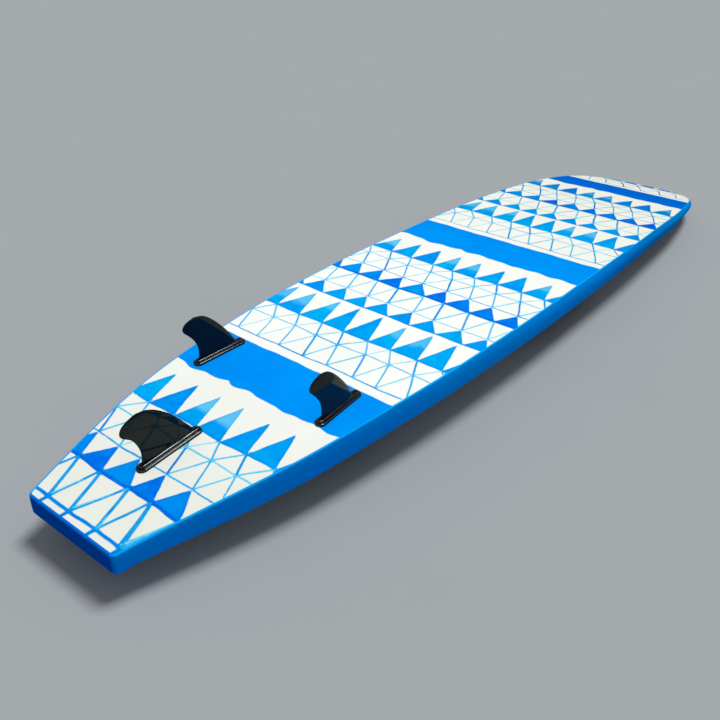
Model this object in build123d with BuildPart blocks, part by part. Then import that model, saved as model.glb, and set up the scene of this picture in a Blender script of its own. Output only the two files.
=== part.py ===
from build123d import *
import os
from math import copysign, cos, hypot, pi, sin
import numpy as np
from scipy.interpolate import CubicSpline

# A directional kiteboard lying deck down, fins up, resting on its footstraps.
# Stations ("s") run in millimetres along the board from the square tail (0)
# to the tip of the nose.  +X points to the nose, +Y to the left-hand rail of
# a board lying fins up, +Z up away from the floor.  X = 0 is mid-board.

# ---------------------------------------------------------------- dimensions
LENGTH = 2174.5            # tail face to nose tip, on the bottom outline
HALF_WIDTH = 240.0         # half of the widest part of the outline
RIDE_Z = 125.0             # bottom datum above the floor the straps stand on
ROCKER = (0.283, -0.264, 0.299)   # bottom curve coefficients about the flat spot
FLAT_SPOT = 800.0          # station of the flattest part of the bottom
NOSE_BULGE = 6.0           # how far the rail swells past the bottom outline
MID_S = (LENGTH + NOSE_BULGE) / 2   # station of the middle of the whole board

SKIN_T = 3.0               # printed bottom sheet
DECK_T = 4.0               # deck laminate
GLUE = 0.10                # glue line between bonded pieces
SLIP = 0.05                # close gap round inserts, under flanges and in rebates
FIT = 0.45                 # bedding gap between the rail bands and what they surround
RAIL_W = 16.0              # rail band width, outline to core
RIM_W = 6.0                # blue rim left showing round the printed sheet
EDGE_R = 4.5               # rail edge radius on the bottom side
DECK_R = 14.0              # rail edge radius on the deck side
TAIL_W = 24.0              # tail block, front to back
TAIL_CORNER_R = 10.0       # tail block corners, in plan
TAIL_DECK_R = 9.0          # tail block edge radius on the deck side
STRINGER_T = 5.0
STRINGER_START = 264.0

BOLT_R = 2.45              # M6 bolt modelled at its core size
M6_HOLE_R = 2.5
PAD_T = 5.0                # traction pad

# Extents that only have to reach clear of the board
PAST_NOSE = 2260.0         # station beyond the nose
ACROSS = 260.0             # more than half the board's width
HEIGHT = 200.0             # more than the board's height
DRILL = 10.0               # reach of a hole to each side of the deck surface

# half outline of the bottom: (station, half width)
OUTLINE = [(0, 102.1), (150, 147), (300, 184.1), (450, 206), (600, 222.3),
           (750, 231.5), (900, 237.6), (1050, 239.6), (1200, HALF_WIDTH),
           (1350, HALF_WIDTH), (1500, 237.5), (1650, 232), (1800, 223.3),
           (1909, 210), (1980, 199), (2052, 181), (2100, 158), (2137, 122),
           (2160, 80), (2172, 35), (LENGTH, 0)]
# (station, thickness from bottom to deck)
THICKNESS = [(-60, 36.5), (0, 39), (60, 43.5), (140, 48.5), (220, 52), (380, 55.5),
             (620, 57), (900, 59), (1180, 60), (1340, 57.5), (1620, 48.5),
             (1909, 41), (2080, 33), (2172, 27.5), (2260, 23)]
# (station, swell of the rail past the outline)
SWELL = [(-60, 0.3), (0, 0.3), (200, 0.6), (600, 2.0), (1100, 4.6), (1500, NOSE_BULGE),
         (2260, NOSE_BULGE)]

pieces = {}                # file name -> finished part


def mirrored(part):
    """The same part on the other side of the centreline."""
    with BuildPart() as other:
        mirror(part, about=Plane.XZ)
    return other.part


# ------------------------------------------------------------ board surfaces
half_outline = np.array(OUTLINE, float)
full_outline = np.vstack([half_outline, (half_outline[:-1] * [1, -1])[::-1]])
outline_arc = np.r_[0, np.cumsum(np.hypot(*np.diff(full_outline, axis=0).T))]
plan_curve = CubicSpline(outline_arc, full_outline)
HALF_ARC = outline_arc[len(half_outline) - 1]      # arc length from tail to nose tip
thickness_curve = CubicSpline(*np.array(THICKNESS, float).T)
swell_table = np.array(SWELL, float).T


def rocker(s):
    """Height of the bottom above the datum at a station."""
    q = (s - FLAT_SPOT) / 1000.0
    return -100.0 * (ROCKER[0] * q**2 + ROCKER[1] * q**3 + ROCKER[2] * q**4)


def z_bottom(s):
    return RIDE_Z + rocker(s)


def thickness(s):
    return float(thickness_curve(s))


def z_deck(s):
    return z_bottom(s) - thickness(s)


def z_core_top(s):
    return z_bottom(s) - SKIN_T - GLUE


def z_core_bottom(s):
    return z_deck(s) + DECK_T + GLUE


def outline(arc):
    """Point and outward normal of the plan outline at an arc length from the tail."""
    point = plan_curve(arc)
    ds, dy = plan_curve(arc, 1)
    size = hypot(ds, dy)
    return float(point[0]), float(point[1]), float(-dy / size), float(ds / size)


def arc_at_station(station):
    arcs = np.linspace(0, HALF_ARC, 4001)
    return float(np.interp(station, plan_curve(arcs)[:, 0], arcs))


PLAN_ARCS = [*np.arange(0.0, 1850.0, 92.0), *np.arange(1850.0, HALF_ARC - 5, 24.0), HALF_ARC]


def plan_points(inset, s_min):
    """Plan outline moved inwards, left tail end round the nose to the right one."""
    points = []
    for arc in PLAN_ARCS:
        s, y, nx, ny = outline(arc)
        points.append((s - nx * inset, y - ny * inset))
    points[-1] = (LENGTH - inset, 0.0)
    points = np.array(points)
    first = int(np.searchsorted(points[:, 0], s_min + 8.0))
    y_start = float(np.interp(s_min, points[:12, 0], points[:12, 1]))
    left = [(s_min, y_start)] + [tuple(p) for p in points[first:]]
    full = left + [(s, -y) for s, y in left[:-1][::-1]]
    return [(float(s) - MID_S, float(y)) for s, y in full]


def plan_edges(inset, s_min):
    """Draw the inset plan outline, closed across the tail, in the current BuildLine."""
    rim = Spline(*plan_points(inset, s_min))
    Line(rim @ 0, rim @ 1)


SIDE_STEP = 90.0           # widest spacing of the points on a side curve


def side_points(height, s0, s1):
    count = int((s1 - s0) / SIDE_STEP) + 2
    return [(float(s) - MID_S, float(height(s))) for s in np.linspace(s0, s1, count)]


def side_edges(upper, lower, s0, s1):
    """Draw the side view between two height curves in the current BuildLine."""
    top = Spline(*side_points(upper, s0, s1))
    bottom = Spline(*side_points(lower, s0, s1))
    Line(top @ 0, bottom @ 0)
    Line(top @ 1, bottom @ 1)


# ------------------------------------------------------- rails and nose block
NOSE_S = 2072.0            # station where the rails meet the nose block
REBATE_DEPTH = SKIN_T + SLIP
TAIL_BLEND = 160.0         # length over which the rail sections turn square to the tail
ARC_TAIL = arc_at_station(TAIL_W + GLUE)
ARC_NOSE = arc_at_station(NOSE_S)
CORNER_ANGLES = np.radians([0, 22.5, 45, 67.5, 90])


def rail_profile(s, nx):
    """Rail section as (out, up) points: three round the rebate, the outer curve, one inside."""

    def from_bottom(out, up):
        return (out, rocker(s + nx * out) - rocker(s) + up)

    def from_deck(out, up):
        return (out, z_deck(s + nx * out) + up - z_bottom(s))

    height = thickness(s)
    bulge = float(np.interp(s, *swell_table))
    deck_r = min(DECK_R, height * 0.42)
    curve = [from_bottom(-EDGE_R + EDGE_R * sin(t), -EDGE_R + EDGE_R * cos(t))
             for t in CORNER_ANGLES]
    curve += [from_bottom(bulge * sin(pi * k) ** 0.8, -EDGE_R - (height - EDGE_R - deck_r) * k)
              for k in (0.2, 0.4, 0.6, 0.8)]
    curve += [from_deck(-deck_r + deck_r * cos(t), deck_r - deck_r * sin(t))
              for t in CORNER_ANGLES]
    rebate_inner = from_bottom(-RAIL_W, -REBATE_DEPTH)
    rebate_corner = from_bottom(-RIM_W, -REBATE_DEPTH)
    rim = from_bottom(-RIM_W, 0.0)
    deck_inner = from_deck(-RAIL_W, 0.0)
    return rebate_inner, rebate_corner, rim, curve, deck_inner


def rail_band(frames):
    """Loft rail sections standing at (station, y, normal x, normal y) frames."""
    with BuildPart() as band:
        for s, y, nx, ny in frames:
            rebate_inner, rebate_corner, rim, curve, deck_inner = rail_profile(s, nx)
            section_plane = Plane(origin=(s - MID_S, y, z_bottom(s)),
                                  x_dir=(nx, ny, 0), z_dir=(ny, -nx, 0))
            with BuildSketch(section_plane):
                with BuildLine():
                    Line(rebate_inner, rebate_corner)
                    Line(rebate_corner, rim)
                    Line(rim, curve[0])
                    Spline(*curve)
                    Line(curve[-1], deck_inner)
                    Line(deck_inner, rebate_inner)
                make_face()
        loft(ruled=True)
    return band.part


def tail_blended(s, y, nx, ny):
    """Turn a frame's normal straight across the board where it nears the tail block."""
    k = min(1.0, max(0.0, (s - TAIL_W - 1.0) / TAIL_BLEND))
    normal = np.array([0, 1.0]) * (1 - k) + np.array([nx, ny]) * k
    nx, ny = (normal / np.hypot(*normal)).tolist()
    return s, y, nx, ny


# left rail, with closer sections over the last 200 mm before the nose block
rail_arcs = [*np.linspace(ARC_TAIL, ARC_NOSE - 200, 34),
             *np.linspace(ARC_NOSE - 200, ARC_NOSE, 8)[1:]]
pieces["rail_left"] = rail_band([tail_blended(*outline(arc)) for arc in rail_arcs])
pieces["rail_right"] = mirrored(pieces["rail_left"])

# blunt nose block, carried round the tip in one piece, a glue line short of each rail
nose_frames = [outline(arc) for arc in np.linspace(ARC_NOSE, 2 * HALF_ARC - ARC_NOSE, 37)]
for end, step in ((0, GLUE), (-1, -GLUE)):
    s, y, nx, ny = nose_frames[end]
    nose_frames[end] = (s + ny * step, y - nx * step, nx, ny)
pieces["nose_block"] = rail_band(nose_frames)

# ------------------------------------------------------------- square tail
TAIL_HALF = OUTLINE[0][1]                      # half width at the tail face
TAIL_FRONT_HALF = outline(ARC_TAIL)[1]         # half width where the rails begin
REBATE_HALF = TAIL_FRONT_HALF - 11.5           # half width of the sheet's rebate

with BuildPart() as tail_block:
    with BuildSketch(Plane.XZ):
        with BuildLine():
            side_edges(z_bottom, z_deck, -20, 60)
        make_face()
    extrude(amount=160, both=True)
    with BuildSketch(Plane.XY) as tail_plan:
        with BuildLine():
            Polyline((TAIL_W - MID_S, TAIL_FRONT_HALF), (-MID_S, TAIL_HALF),
                     (-MID_S, -TAIL_HALF), (TAIL_W - MID_S, -TAIL_FRONT_HALF), close=True)
        make_face()
        fillet(tail_plan.vertices().group_by(Axis.X)[0], TAIL_CORNER_R)
    extrude(amount=HEIGHT, mode=Mode.INTERSECT)
    # bottom edges, then deck edges, all but those on the front face
    fillet([e for e in tail_block.edges()
            if abs(e.center().Z - z_bottom(6)) < 6 and e.center().X < TAIL_W - MID_S - 0.5],
           EDGE_R)
    fillet([e for e in tail_block.edges()
            if abs(e.center().Z - z_deck(8)) < 3 and e.center().X < TAIL_W - MID_S - 0.5],
           TAIL_DECK_R)
    # rebate that takes the end of the printed sheet
    with BuildSketch(Plane.XZ):
        with BuildLine():
            side_edges(lambda s: z_bottom(s) + 10, lambda s: z_bottom(s) - REBATE_DEPTH,
                       RIM_W, 60)
        make_face()
    extrude(amount=REBATE_HALF, both=True, mode=Mode.SUBTRACT)
pieces["tail_block"] = tail_block.part

# ------------------------------------------------------- fins and their bolts
# rear and front base points of each fin, as (station, y), joined by a chord
FIN_CHORDS = {
    "centre": ((118.6, 0.0), (240.3, 0.0)),
    "left": ((359.4, 144.5), (471.1, 137.9)),
}
FIN_CHORDS["right"] = tuple((s, -y) for s, y in FIN_CHORDS["left"])
# bolts, measured along the chord from its rear point
FIN_BOLTS = {"centre": (30.0, 92.0), "left": (28.0, 84.0), "right": (28.0, 84.0)}
BUILT_FINS = ("centre", "left")                # the right one is mirrored

# blade outlines: (height, trailing edge, leading edge) along the base chord
BLADES = {
    "centre": [(2.0, 8.5, 115.5), (14, 9.5, 108.2), (28, 11.6, 99.0), (42, 9.4, 89.8),
               (54, 5.0, 81.4), (62, -0.2, 75.4), (68, -7.0, 69.6), (73, -12.0, 64.8),
               (78, -14.5, 59.6), (84, -14.0, 52.8), (89, -10.6, 45.8), (93.5, -3.4, 38.0),
               (96.4, 4.6, 30.0), (97.6, 10.5, 23.0)],
    "left": [(2.0, 8.0, 100.0), (14, 10.0, 92.4), (28, 10.6, 84.0), (40, 8.0, 76.0),
             (50, 3.0, 68.6), (58, -2.6, 62.0), (65, -8.6, 56.0), (70, -13.4, 51.4),
             (75, -16.6, 46.4), (80, -17.0, 41.0), (85, -13.8, 34.6), (89, -7.8, 28.0),
             (91.4, -1.0, 20.6), (92.4, 4.0, 14.5)],
}
# foil section: (fraction forward of the trailing edge, fraction of full thickness)
FOIL = [(0, 0.0), (0.12, 0.34), (0.3, 0.70), (0.5, 0.94), (0.68, 1.0), (0.84, 0.84),
        (0.95, 0.5), (1.0, 0.0)]
ROOT_T = {"centre": 8.0, "left": 6.6}          # blade thickness at the root
FOIL_BIAS = {"centre": 0.0, "left": 0.25}      # how much fuller the outboard face is
TRAILING_HALF_T = 0.55                         # half thickness of the trailing edge
FLANGE_W = {"centre": 21.0, "left": 20.0}
FLANGE_T = 4.6
RIDGE_W = 12.0
RIDGE_T = 8.4                                  # top of the ridge above the chord
FLANGE_EDGE_R = 2.0

# depths are taken along each bolt's axis, down from the chord
BOSS_R = 5.5
BOSS_END = 16.0
BOSS_BORE_R, BOSS_BORE_L = 3.95, 13.0
FIN_INSERT_R, FIN_INSERT_L = 3.93, 12.0
FIN_INSERT_END = BOSS_END - 0.1
PLUG_START = BOSS_END + 0.4
BOLT_TIP = 6.0
PLUG_R = 7.5
PLUG_BORE_R = 3.1
PLUG_FLANGE_R, PLUG_FLANGE_T = 11.0, 2.6
PLUG_SINK = 0.3                                # plug end, short of the deck surface
COUNTERBORE_R, COUNTERBORE = 5.6, 6.6          # radius and depth below the deck surface
BOLT_SEAT = COUNTERBORE - SLIP                 # head's inner face below the deck surface
BOLT_HEAD_R, BOLT_HEAD_T = 5.2, 4.0
SOCKET_R, SOCKET_DEPTH = 2.3, 2.4


def fin_plane(name):
    """Plane at the rear base point, +X along the chord to the front, +Z up."""
    (s0, y0), (s1, y1) = FIN_CHORDS[name]
    rear = Vector(s0 - MID_S, y0, z_bottom(s0))
    front = Vector(s1 - MID_S, y1, z_bottom(s1))
    along = (front - rear).normalized()
    side = Vector(0, 0, 1).cross(along).normalized()
    return Plane(origin=rear, x_dir=along, z_dir=along.cross(side))


fin_planes = {name: fin_plane(name) for name in FIN_CHORDS}
# a plane at each bolt on the chord, +Z up the bolt's axis
bolt_planes = {name: [Plane(origin=base.origin + base.x_dir * x, x_dir=base.x_dir,
                            z_dir=base.z_dir) for x in FIN_BOLTS[name]]
               for name, base in fin_planes.items()}
all_bolt_planes = [plane for planes in bolt_planes.values() for plane in planes]
built_bolt_planes = [plane for name in BUILT_FINS for plane in bolt_planes[name]]


def depth_to_deck(plane):
    """Distance along the bolt's axis from the chord to the deck."""
    depth = 30.0
    for _ in range(20):
        point = plane.origin - plane.z_dir * depth
        depth += point.Z - z_deck(point.X + MID_S)
    return depth


def foil_face(trailing, leading, full_t, bias, side):
    """Points of one face of the foil; side is +1 for the +Y face, -1 for the other."""
    return [(trailing + (leading - trailing) * x,
             side * (full_t * h * 0.5 * (1 + side * bias) + (TRAILING_HALF_T if x == 0 else 0)))
            for x, h in FOIL]


def fin_blade(name):
    tip_height = BLADES[name][-1][0]
    with BuildPart() as blade:
        for height, trailing, leading in BLADES[name]:
            full_t = (ROOT_T[name] * (1 - 0.62 * height / tip_height)
                      * min(1.0, 0.35 + 0.65 * (leading - trailing) / 40.0))
            upper = foil_face(trailing, leading, full_t, FOIL_BIAS[name], 1)
            lower = foil_face(trailing, leading, full_t, FOIL_BIAS[name], -1)
            with BuildSketch(fin_planes[name].offset(height)):
                with BuildLine():
                    Spline(*upper)
                    Spline(*lower)
                    Line(upper[0], lower[0])
                make_face()
        loft(ruled=True)
    return blade.part


def highest_face_edges(builder, base):
    faces = builder.faces().sort_by(lambda f: (f.center() - base.origin).dot(base.z_dir))
    return faces[-1].edges()


def build_fin(name):
    base = fin_planes[name]
    (s0, y0), (s1, y1) = FIN_CHORDS[name]
    chord = hypot(s1 - s0, y1 - y0)
    blade = fin_blade(name)
    with BuildPart() as fin:
        # flange with a raised ridge
        with BuildSketch(base.offset(-3)):
            with Locations((chord / 2, 0)):
                SlotOverall(chord + 2.0, FLANGE_W[name])
        extrude(amount=FLANGE_T + 3)
        fillet(highest_face_edges(fin, base), FLANGE_EDGE_R)
        with BuildSketch(base.offset(FLANGE_T - 1.0)):
            with Locations((chord / 2, 0)):
                SlotOverall(chord - 7.0, RIDGE_W)
        extrude(amount=RIDGE_T - FLANGE_T + 1.0)
        fillet(highest_face_edges(fin, base), FLANGE_EDGE_R)
        # cut underneath to the rocker, so that it beds on the bottom
        with BuildSketch(Plane.XZ.offset(-y0)):
            with BuildLine():
                side_edges(lambda s: z_bottom(s) + SLIP, lambda s: z_bottom(s) - 30, 60, 540)
            make_face()
        extrude(amount=60, both=True, mode=Mode.SUBTRACT)
        add(blade)
        # bosses that drop through the bottom sheet
        for plane in bolt_planes[name]:
            with BuildSketch(plane.offset(4.0)):
                Circle(BOSS_R)
            extrude(amount=-(BOSS_END + 4.0))
            with BuildSketch(plane.offset(-BOSS_END)):
                Circle(BOSS_BORE_R)
            extrude(amount=BOSS_BORE_L, mode=Mode.SUBTRACT)
    return fin.part


def build_fin_inserts(name):
    """Brass inserts moulded into the bosses."""
    with BuildPart() as brass:
        for plane in bolt_planes[name]:
            with BuildSketch(plane.offset(-FIN_INSERT_END)):
                Circle(FIN_INSERT_R)
                Circle(M6_HOLE_R, mode=Mode.SUBTRACT)
            extrude(amount=FIN_INSERT_L)
    return brass.part


def with_right_side(half):
    """Add the mirror images of the solids that belong to the left fin."""
    with BuildPart() as whole:
        add(half)
        mirror([solid for solid in half.solids() if solid.center().Y > 50], about=Plane.XZ)
    return whole.part


# flanged plugs that come up from the deck to the bosses
with BuildPart() as plug_half:
    for plane in built_bolt_planes:
        plug_end = depth_to_deck(plane) - PLUG_SINK
        with BuildSketch(plane.offset(-PLUG_START)):
            Circle(PLUG_R)
        extrude(amount=-(plug_end - PLUG_START))
        with BuildSketch(plane.offset(-plug_end + PLUG_FLANGE_T)):
            Circle(PLUG_FLANGE_R)
        extrude(amount=-PLUG_FLANGE_T)
        with BuildSketch(plane.offset(-BOSS_END)):
            Circle(PLUG_BORE_R)
        extrude(amount=-60, mode=Mode.SUBTRACT)
        with BuildSketch(plane.offset(-(depth_to_deck(plane) - COUNTERBORE))):
            Circle(COUNTERBORE_R)
        extrude(amount=-20, mode=Mode.SUBTRACT)
pieces["fin_plugs"] = with_right_side(plug_half.part)

# socket-headed bolts, heads towards the deck
with BuildPart() as bolt_half:
    for plane in built_bolt_planes:
        seat = depth_to_deck(plane) - BOLT_SEAT
        with BuildSketch(plane.offset(-seat)):
            Circle(BOLT_R)
        extrude(amount=seat - BOLT_TIP)
        with BuildSketch(plane.offset(-seat)):
            Circle(BOLT_HEAD_R)
        extrude(amount=-BOLT_HEAD_T)
        with BuildSketch(plane.offset(-seat - BOLT_HEAD_T)):
            RegularPolygon(SOCKET_R, 6)
        extrude(amount=SOCKET_DEPTH, mode=Mode.SUBTRACT)
pieces["fin_bolts"] = with_right_side(bolt_half.part)

# ----------------------------------------------------------- deck positions
STRAP_W = 60.0
STRAP_T = 7.0
FOOT_AT = 88.0             # strap screw, from the strap's middle
SPARE_STEP = 50.8          # spare inserts, towards the nose from the strap screws
# (station, y, turn in degrees) of each strap's middle
STRAPS = {
    "rear": (452.0, 0.0, 0.0),
    "front_left": (1130.0, 108.0, 28.0),
    "front_right": (1130.0, -108.0, -28.0),
}
INSERT_R = 6.0
INSERT_L = 22.0
LEASH_S = 74.0             # station of the leash plug
VENT_S = 1560.0            # station of the vent

# leash plug and vent plug share their lengths
DECK_PLUG_SINK = 0.2       # below the deck surface
DECK_PLUG_L = 15.8
DECK_PLUG_FLANGE_T = 2.4
LEASH_BODY_R, LEASH_FLANGE_R = 16.0, 18.0
VENT_BODY_R, VENT_FLANGE_R = 9.0, 13.0
WELL_DEPTH = DECK_PLUG_SINK + DECK_PLUG_L + 0.2    # hole for either plug
WELL_CUT = 40.0            # from the floor of a hole out past the deck


def deck_plane(s, y, turn=0.0, lift=0.0):
    """Plane on the deck, +Z pointing out of it, +X turned from straight across."""
    slope = (z_deck(s + 1.0) - z_deck(s - 1.0)) / 2.0
    out = Vector(slope, 0, -1).normalized()
    across = Vector(0, 1, 0).rotate(Axis((0, 0, 0), out), turn)
    return Plane(origin=Vector(s - MID_S, y, z_deck(s)) + out * lift, x_dir=across, z_dir=out)


screw_planes = []
for s, y, turn in STRAPS.values():
    middle = deck_plane(s, y, turn)
    for x in (-FOOT_AT, FOOT_AT):
        foot = middle.origin + middle.x_dir * x
        screw_planes.append(deck_plane(foot.X + MID_S, foot.Y, turn))
spare_planes = [deck_plane(plane.origin.X + MID_S + SPARE_STEP, plane.origin.Y)
                for plane in screw_planes]
insert_planes = screw_planes + spare_planes
leash_plane = deck_plane(LEASH_S, 0)
vent_plane = deck_plane(VENT_S, 0)

# ------------------------------------------------------------ printed sheet
SHEET_END_HALF = REBATE_HALF - 0.3             # half width of the sheet at the tail block
TRIM_Y = 150.0                                 # centre of each corner cut

with BuildPart() as bottom_skin:
    with BuildSketch(Plane.XZ):
        with BuildLine():
            side_edges(z_bottom, lambda s: z_bottom(s) - SKIN_T, RIM_W + GLUE, PAST_NOSE)
        make_face()
    extrude(amount=ACROSS, both=True)
    with BuildSketch(Plane.XY):
        with BuildLine():
            plan_edges(RIM_W + FIT, RIM_W - 4)
        make_face()
    extrude(amount=HEIGHT, mode=Mode.INTERSECT)
    # the corners of the sheet stop inside the tail block's rebate
    with BuildSketch(Plane.XY):
        with Locations((TAIL_W / 2 + 3 - MID_S, TRIM_Y), (TAIL_W / 2 + 3 - MID_S, -TRIM_Y)):
            Rectangle(TAIL_W + 8, 2 * (TRIM_Y - SHEET_END_HALF))
    extrude(amount=HEIGHT, mode=Mode.SUBTRACT)
    for plane in all_bolt_planes:
        with BuildSketch(plane.offset(10)):
            Circle(BOSS_R + GLUE)
        extrude(amount=-30, mode=Mode.SUBTRACT)
pieces["bottom_skin"] = bottom_skin.part

# ---------------------------------------------------------------- deck skin
CORE_START = TAIL_W + 2 * GLUE
deck_holes = [(plane, INSERT_R + SLIP) for plane in insert_planes]
deck_holes += [(leash_plane, LEASH_FLANGE_R + GLUE), (vent_plane, VENT_FLANGE_R + GLUE)]

with BuildPart() as deck_skin:
    with BuildSketch(Plane.XZ):
        with BuildLine():
            side_edges(lambda s: z_deck(s) + DECK_T, z_deck, CORE_START, PAST_NOSE)
        make_face()
    extrude(amount=ACROSS, both=True)
    with BuildSketch(Plane.XY.offset(-5)):
        with BuildLine():
            plan_edges(RAIL_W + FIT, TAIL_W)
        make_face()
    extrude(amount=HEIGHT, mode=Mode.INTERSECT)
    for plane in all_bolt_planes:
        with BuildSketch(plane.offset(-25)):
            Circle(PLUG_FLANGE_R + GLUE)
        extrude(amount=-60, mode=Mode.SUBTRACT)
    for plane, radius in deck_holes:
        with BuildSketch(plane.offset(-DRILL)):
            Circle(radius)
        extrude(amount=2 * DRILL, mode=Mode.SUBTRACT)
pieces["deck_skin"] = deck_skin.part

# ---------------------------------------- foam core, stringer and fin blocks
BLOCK_W = 48.0                                 # both kinds of fin block
CENTRE_BLOCK_S0 = 92.0
CENTRE_BLOCK_S1 = STRINGER_START - 2 * GLUE
CENTRE_BLOCK_L = CENTRE_BLOCK_S1 - CENTRE_BLOCK_S0
CENTRE_BLOCK_X = (CENTRE_BLOCK_S0 + CENTRE_BLOCK_S1) / 2 - MID_S
SIDE_BLOCK_L = 160.0
SIDE_BLOCK_S, SIDE_BLOCK_Y = 415.3, 141.2      # middle of the left block

left_chord = fin_planes["left"].x_dir
side_block_plane = Plane(origin=(SIDE_BLOCK_S - MID_S, SIDE_BLOCK_Y, 0),
                         x_dir=(left_chord.X, left_chord.Y, 0), z_dir=(0, 0, 1))

# holes in the left half of the core: (plane, radius, depth)
core_holes = [(plane, INSERT_R + SLIP, INSERT_L + 0.2)
              for plane in insert_planes if plane.origin.Y > 0]
core_holes += [(leash_plane, LEASH_BODY_R + GLUE, WELL_DEPTH),
               (vent_plane, VENT_BODY_R + GLUE, WELL_DEPTH)]

with BuildPart() as core_left:
    with BuildSketch(Plane.XZ):
        with BuildLine():
            side_edges(z_core_top, z_core_bottom, CORE_START, PAST_NOSE)
        make_face()
    extrude(amount=ACROSS, both=True)
    with BuildSketch(Plane.XY.offset(-5)):
        with BuildLine():
            plan_edges(RAIL_W + FIT, TAIL_W)
        make_face()
    extrude(amount=HEIGHT, mode=Mode.INTERSECT)
    # cut away the right half, then room for the stringer and the fin blocks
    with BuildSketch(Plane.XY.offset(-5)):
        with Locations((0, -200 + GLUE / 2)):
            Rectangle(2400, 400)
        with Locations(((STRINGER_START + 2300) / 2 - MID_S, 0)):
            Rectangle(2300 - STRINGER_START, STRINGER_T + 2 * GLUE)
        with Locations((CENTRE_BLOCK_X, 0)):
            Rectangle(CENTRE_BLOCK_L + 2 * GLUE, BLOCK_W + 2 * GLUE)
    extrude(amount=HEIGHT, mode=Mode.SUBTRACT)
    with BuildSketch(side_block_plane.offset(-5)):
        SlotOverall(SIDE_BLOCK_L + 2 * GLUE, BLOCK_W + 2 * GLUE)
    extrude(amount=HEIGHT, mode=Mode.SUBTRACT)
    for plane, radius, depth in core_holes:
        with BuildSketch(plane.offset(-depth)):
            Circle(radius)
        extrude(amount=WELL_CUT, mode=Mode.SUBTRACT)
pieces["core_left"] = core_left.part
pieces["core_right"] = mirrored(core_left.part)

with BuildPart() as stringer:
    with BuildSketch(Plane.XZ):
        with BuildLine():
            side_edges(z_core_top, z_core_bottom, STRINGER_START + GLUE,
                       LENGTH - RAIL_W - FIT - GLUE)
        make_face()
    extrude(amount=STRINGER_T / 2, both=True)
    with BuildSketch(vent_plane.offset(-WELL_DEPTH)):
        Circle(VENT_BODY_R + GLUE)
    extrude(amount=WELL_CUT, mode=Mode.SUBTRACT)
pieces["stringer"] = stringer.part


def build_fin_block(name):
    """Block let into the core under a fin, bored for its plugs."""
    with BuildPart() as block:
        with BuildSketch(Plane.XZ):
            with BuildLine():
                side_edges(z_core_top, z_core_bottom, 60, 540)
            make_face()
        extrude(amount=ACROSS, both=True)
        if name == "centre":
            with BuildSketch(Plane.XY.offset(-5)):
                with Locations((CENTRE_BLOCK_X, 0)):
                    Rectangle(CENTRE_BLOCK_L, BLOCK_W)
        else:
            with BuildSketch(side_block_plane.offset(-5)):
                SlotOverall(SIDE_BLOCK_L, BLOCK_W)
        extrude(amount=HEIGHT, mode=Mode.INTERSECT)
        for plane in bolt_planes[name]:
            with BuildSketch(plane.offset(5)):
                Circle(PLUG_R + SLIP)
            extrude(amount=-80, mode=Mode.SUBTRACT)
            recess = depth_to_deck(plane) - (PLUG_SINK + PLUG_FLANGE_T + 0.2)
            with BuildSketch(plane.offset(-recess)):
                Circle(PLUG_FLANGE_R + GLUE)
            extrude(amount=-20, mode=Mode.SUBTRACT)
    return block.part


for kind, build in (("fin", build_fin), ("fin_inserts", build_fin_inserts),
                    ("fin_block", build_fin_block)):
    for name in BUILT_FINS:
        pieces[f"{kind}_{name}"] = build(name)
    pieces[f"{kind}_right"] = mirrored(pieces[f"{kind}_left"])

# --------------------------------------------------------------- deck pads
# (rear station, front station, width)
PADS = {"pad_rear": (352.0, 556.0, 250.0), "pad_front": (1010.0, 1300.0, 424.0)}
PAD_CORNER_R = 34.0
PAD_SCREW_HOLE_R = 4.0
PAD_SPARE_HOLE_R = 7.5
pad_holes = [(plane, PAD_SCREW_HOLE_R) for plane in screw_planes]
pad_holes += [(plane, PAD_SPARE_HOLE_R) for plane in spare_planes]


def build_pad(s0, s1, width):
    with BuildPart() as pad:
        with BuildSketch(Plane.XZ):
            with BuildLine():
                side_edges(lambda s: z_deck(s) - GLUE, lambda s: z_deck(s) - PAD_T,
                           s0 - 20, s1 + 20)
            make_face()
        extrude(amount=ACROSS, both=True)
        with BuildSketch(Plane.XY.offset(-5)):
            with Locations(((s0 + s1) / 2 - MID_S, 0)):
                RectangleRounded(s1 - s0, width, PAD_CORNER_R)
        extrude(amount=HEIGHT, mode=Mode.INTERSECT)
        for plane, radius in pad_holes:
            if s0 < plane.origin.X + MID_S < s1:
                with BuildSketch(plane.offset(-DRILL)):
                    Circle(radius)
                extrude(amount=2 * DRILL, mode=Mode.SUBTRACT)
    return pad.part


for name, sizes in PADS.items():
    pieces[name] = build_pad(*sizes)

# ------------------------------------------------------------- footstraps
ARCH_HALF = 68.0                               # half span of the arch, outside
TAB_END = ARCH_HALF + 40                       # end of the strap, from its middle
STRAP_LIFT = PAD_T + 0.15                      # underside of the strap above the deck
FLOOR_REACH = 1.2                              # arch height beyond the floor, cut off flat
STRAP_HOLE_R = 3.6


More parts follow.
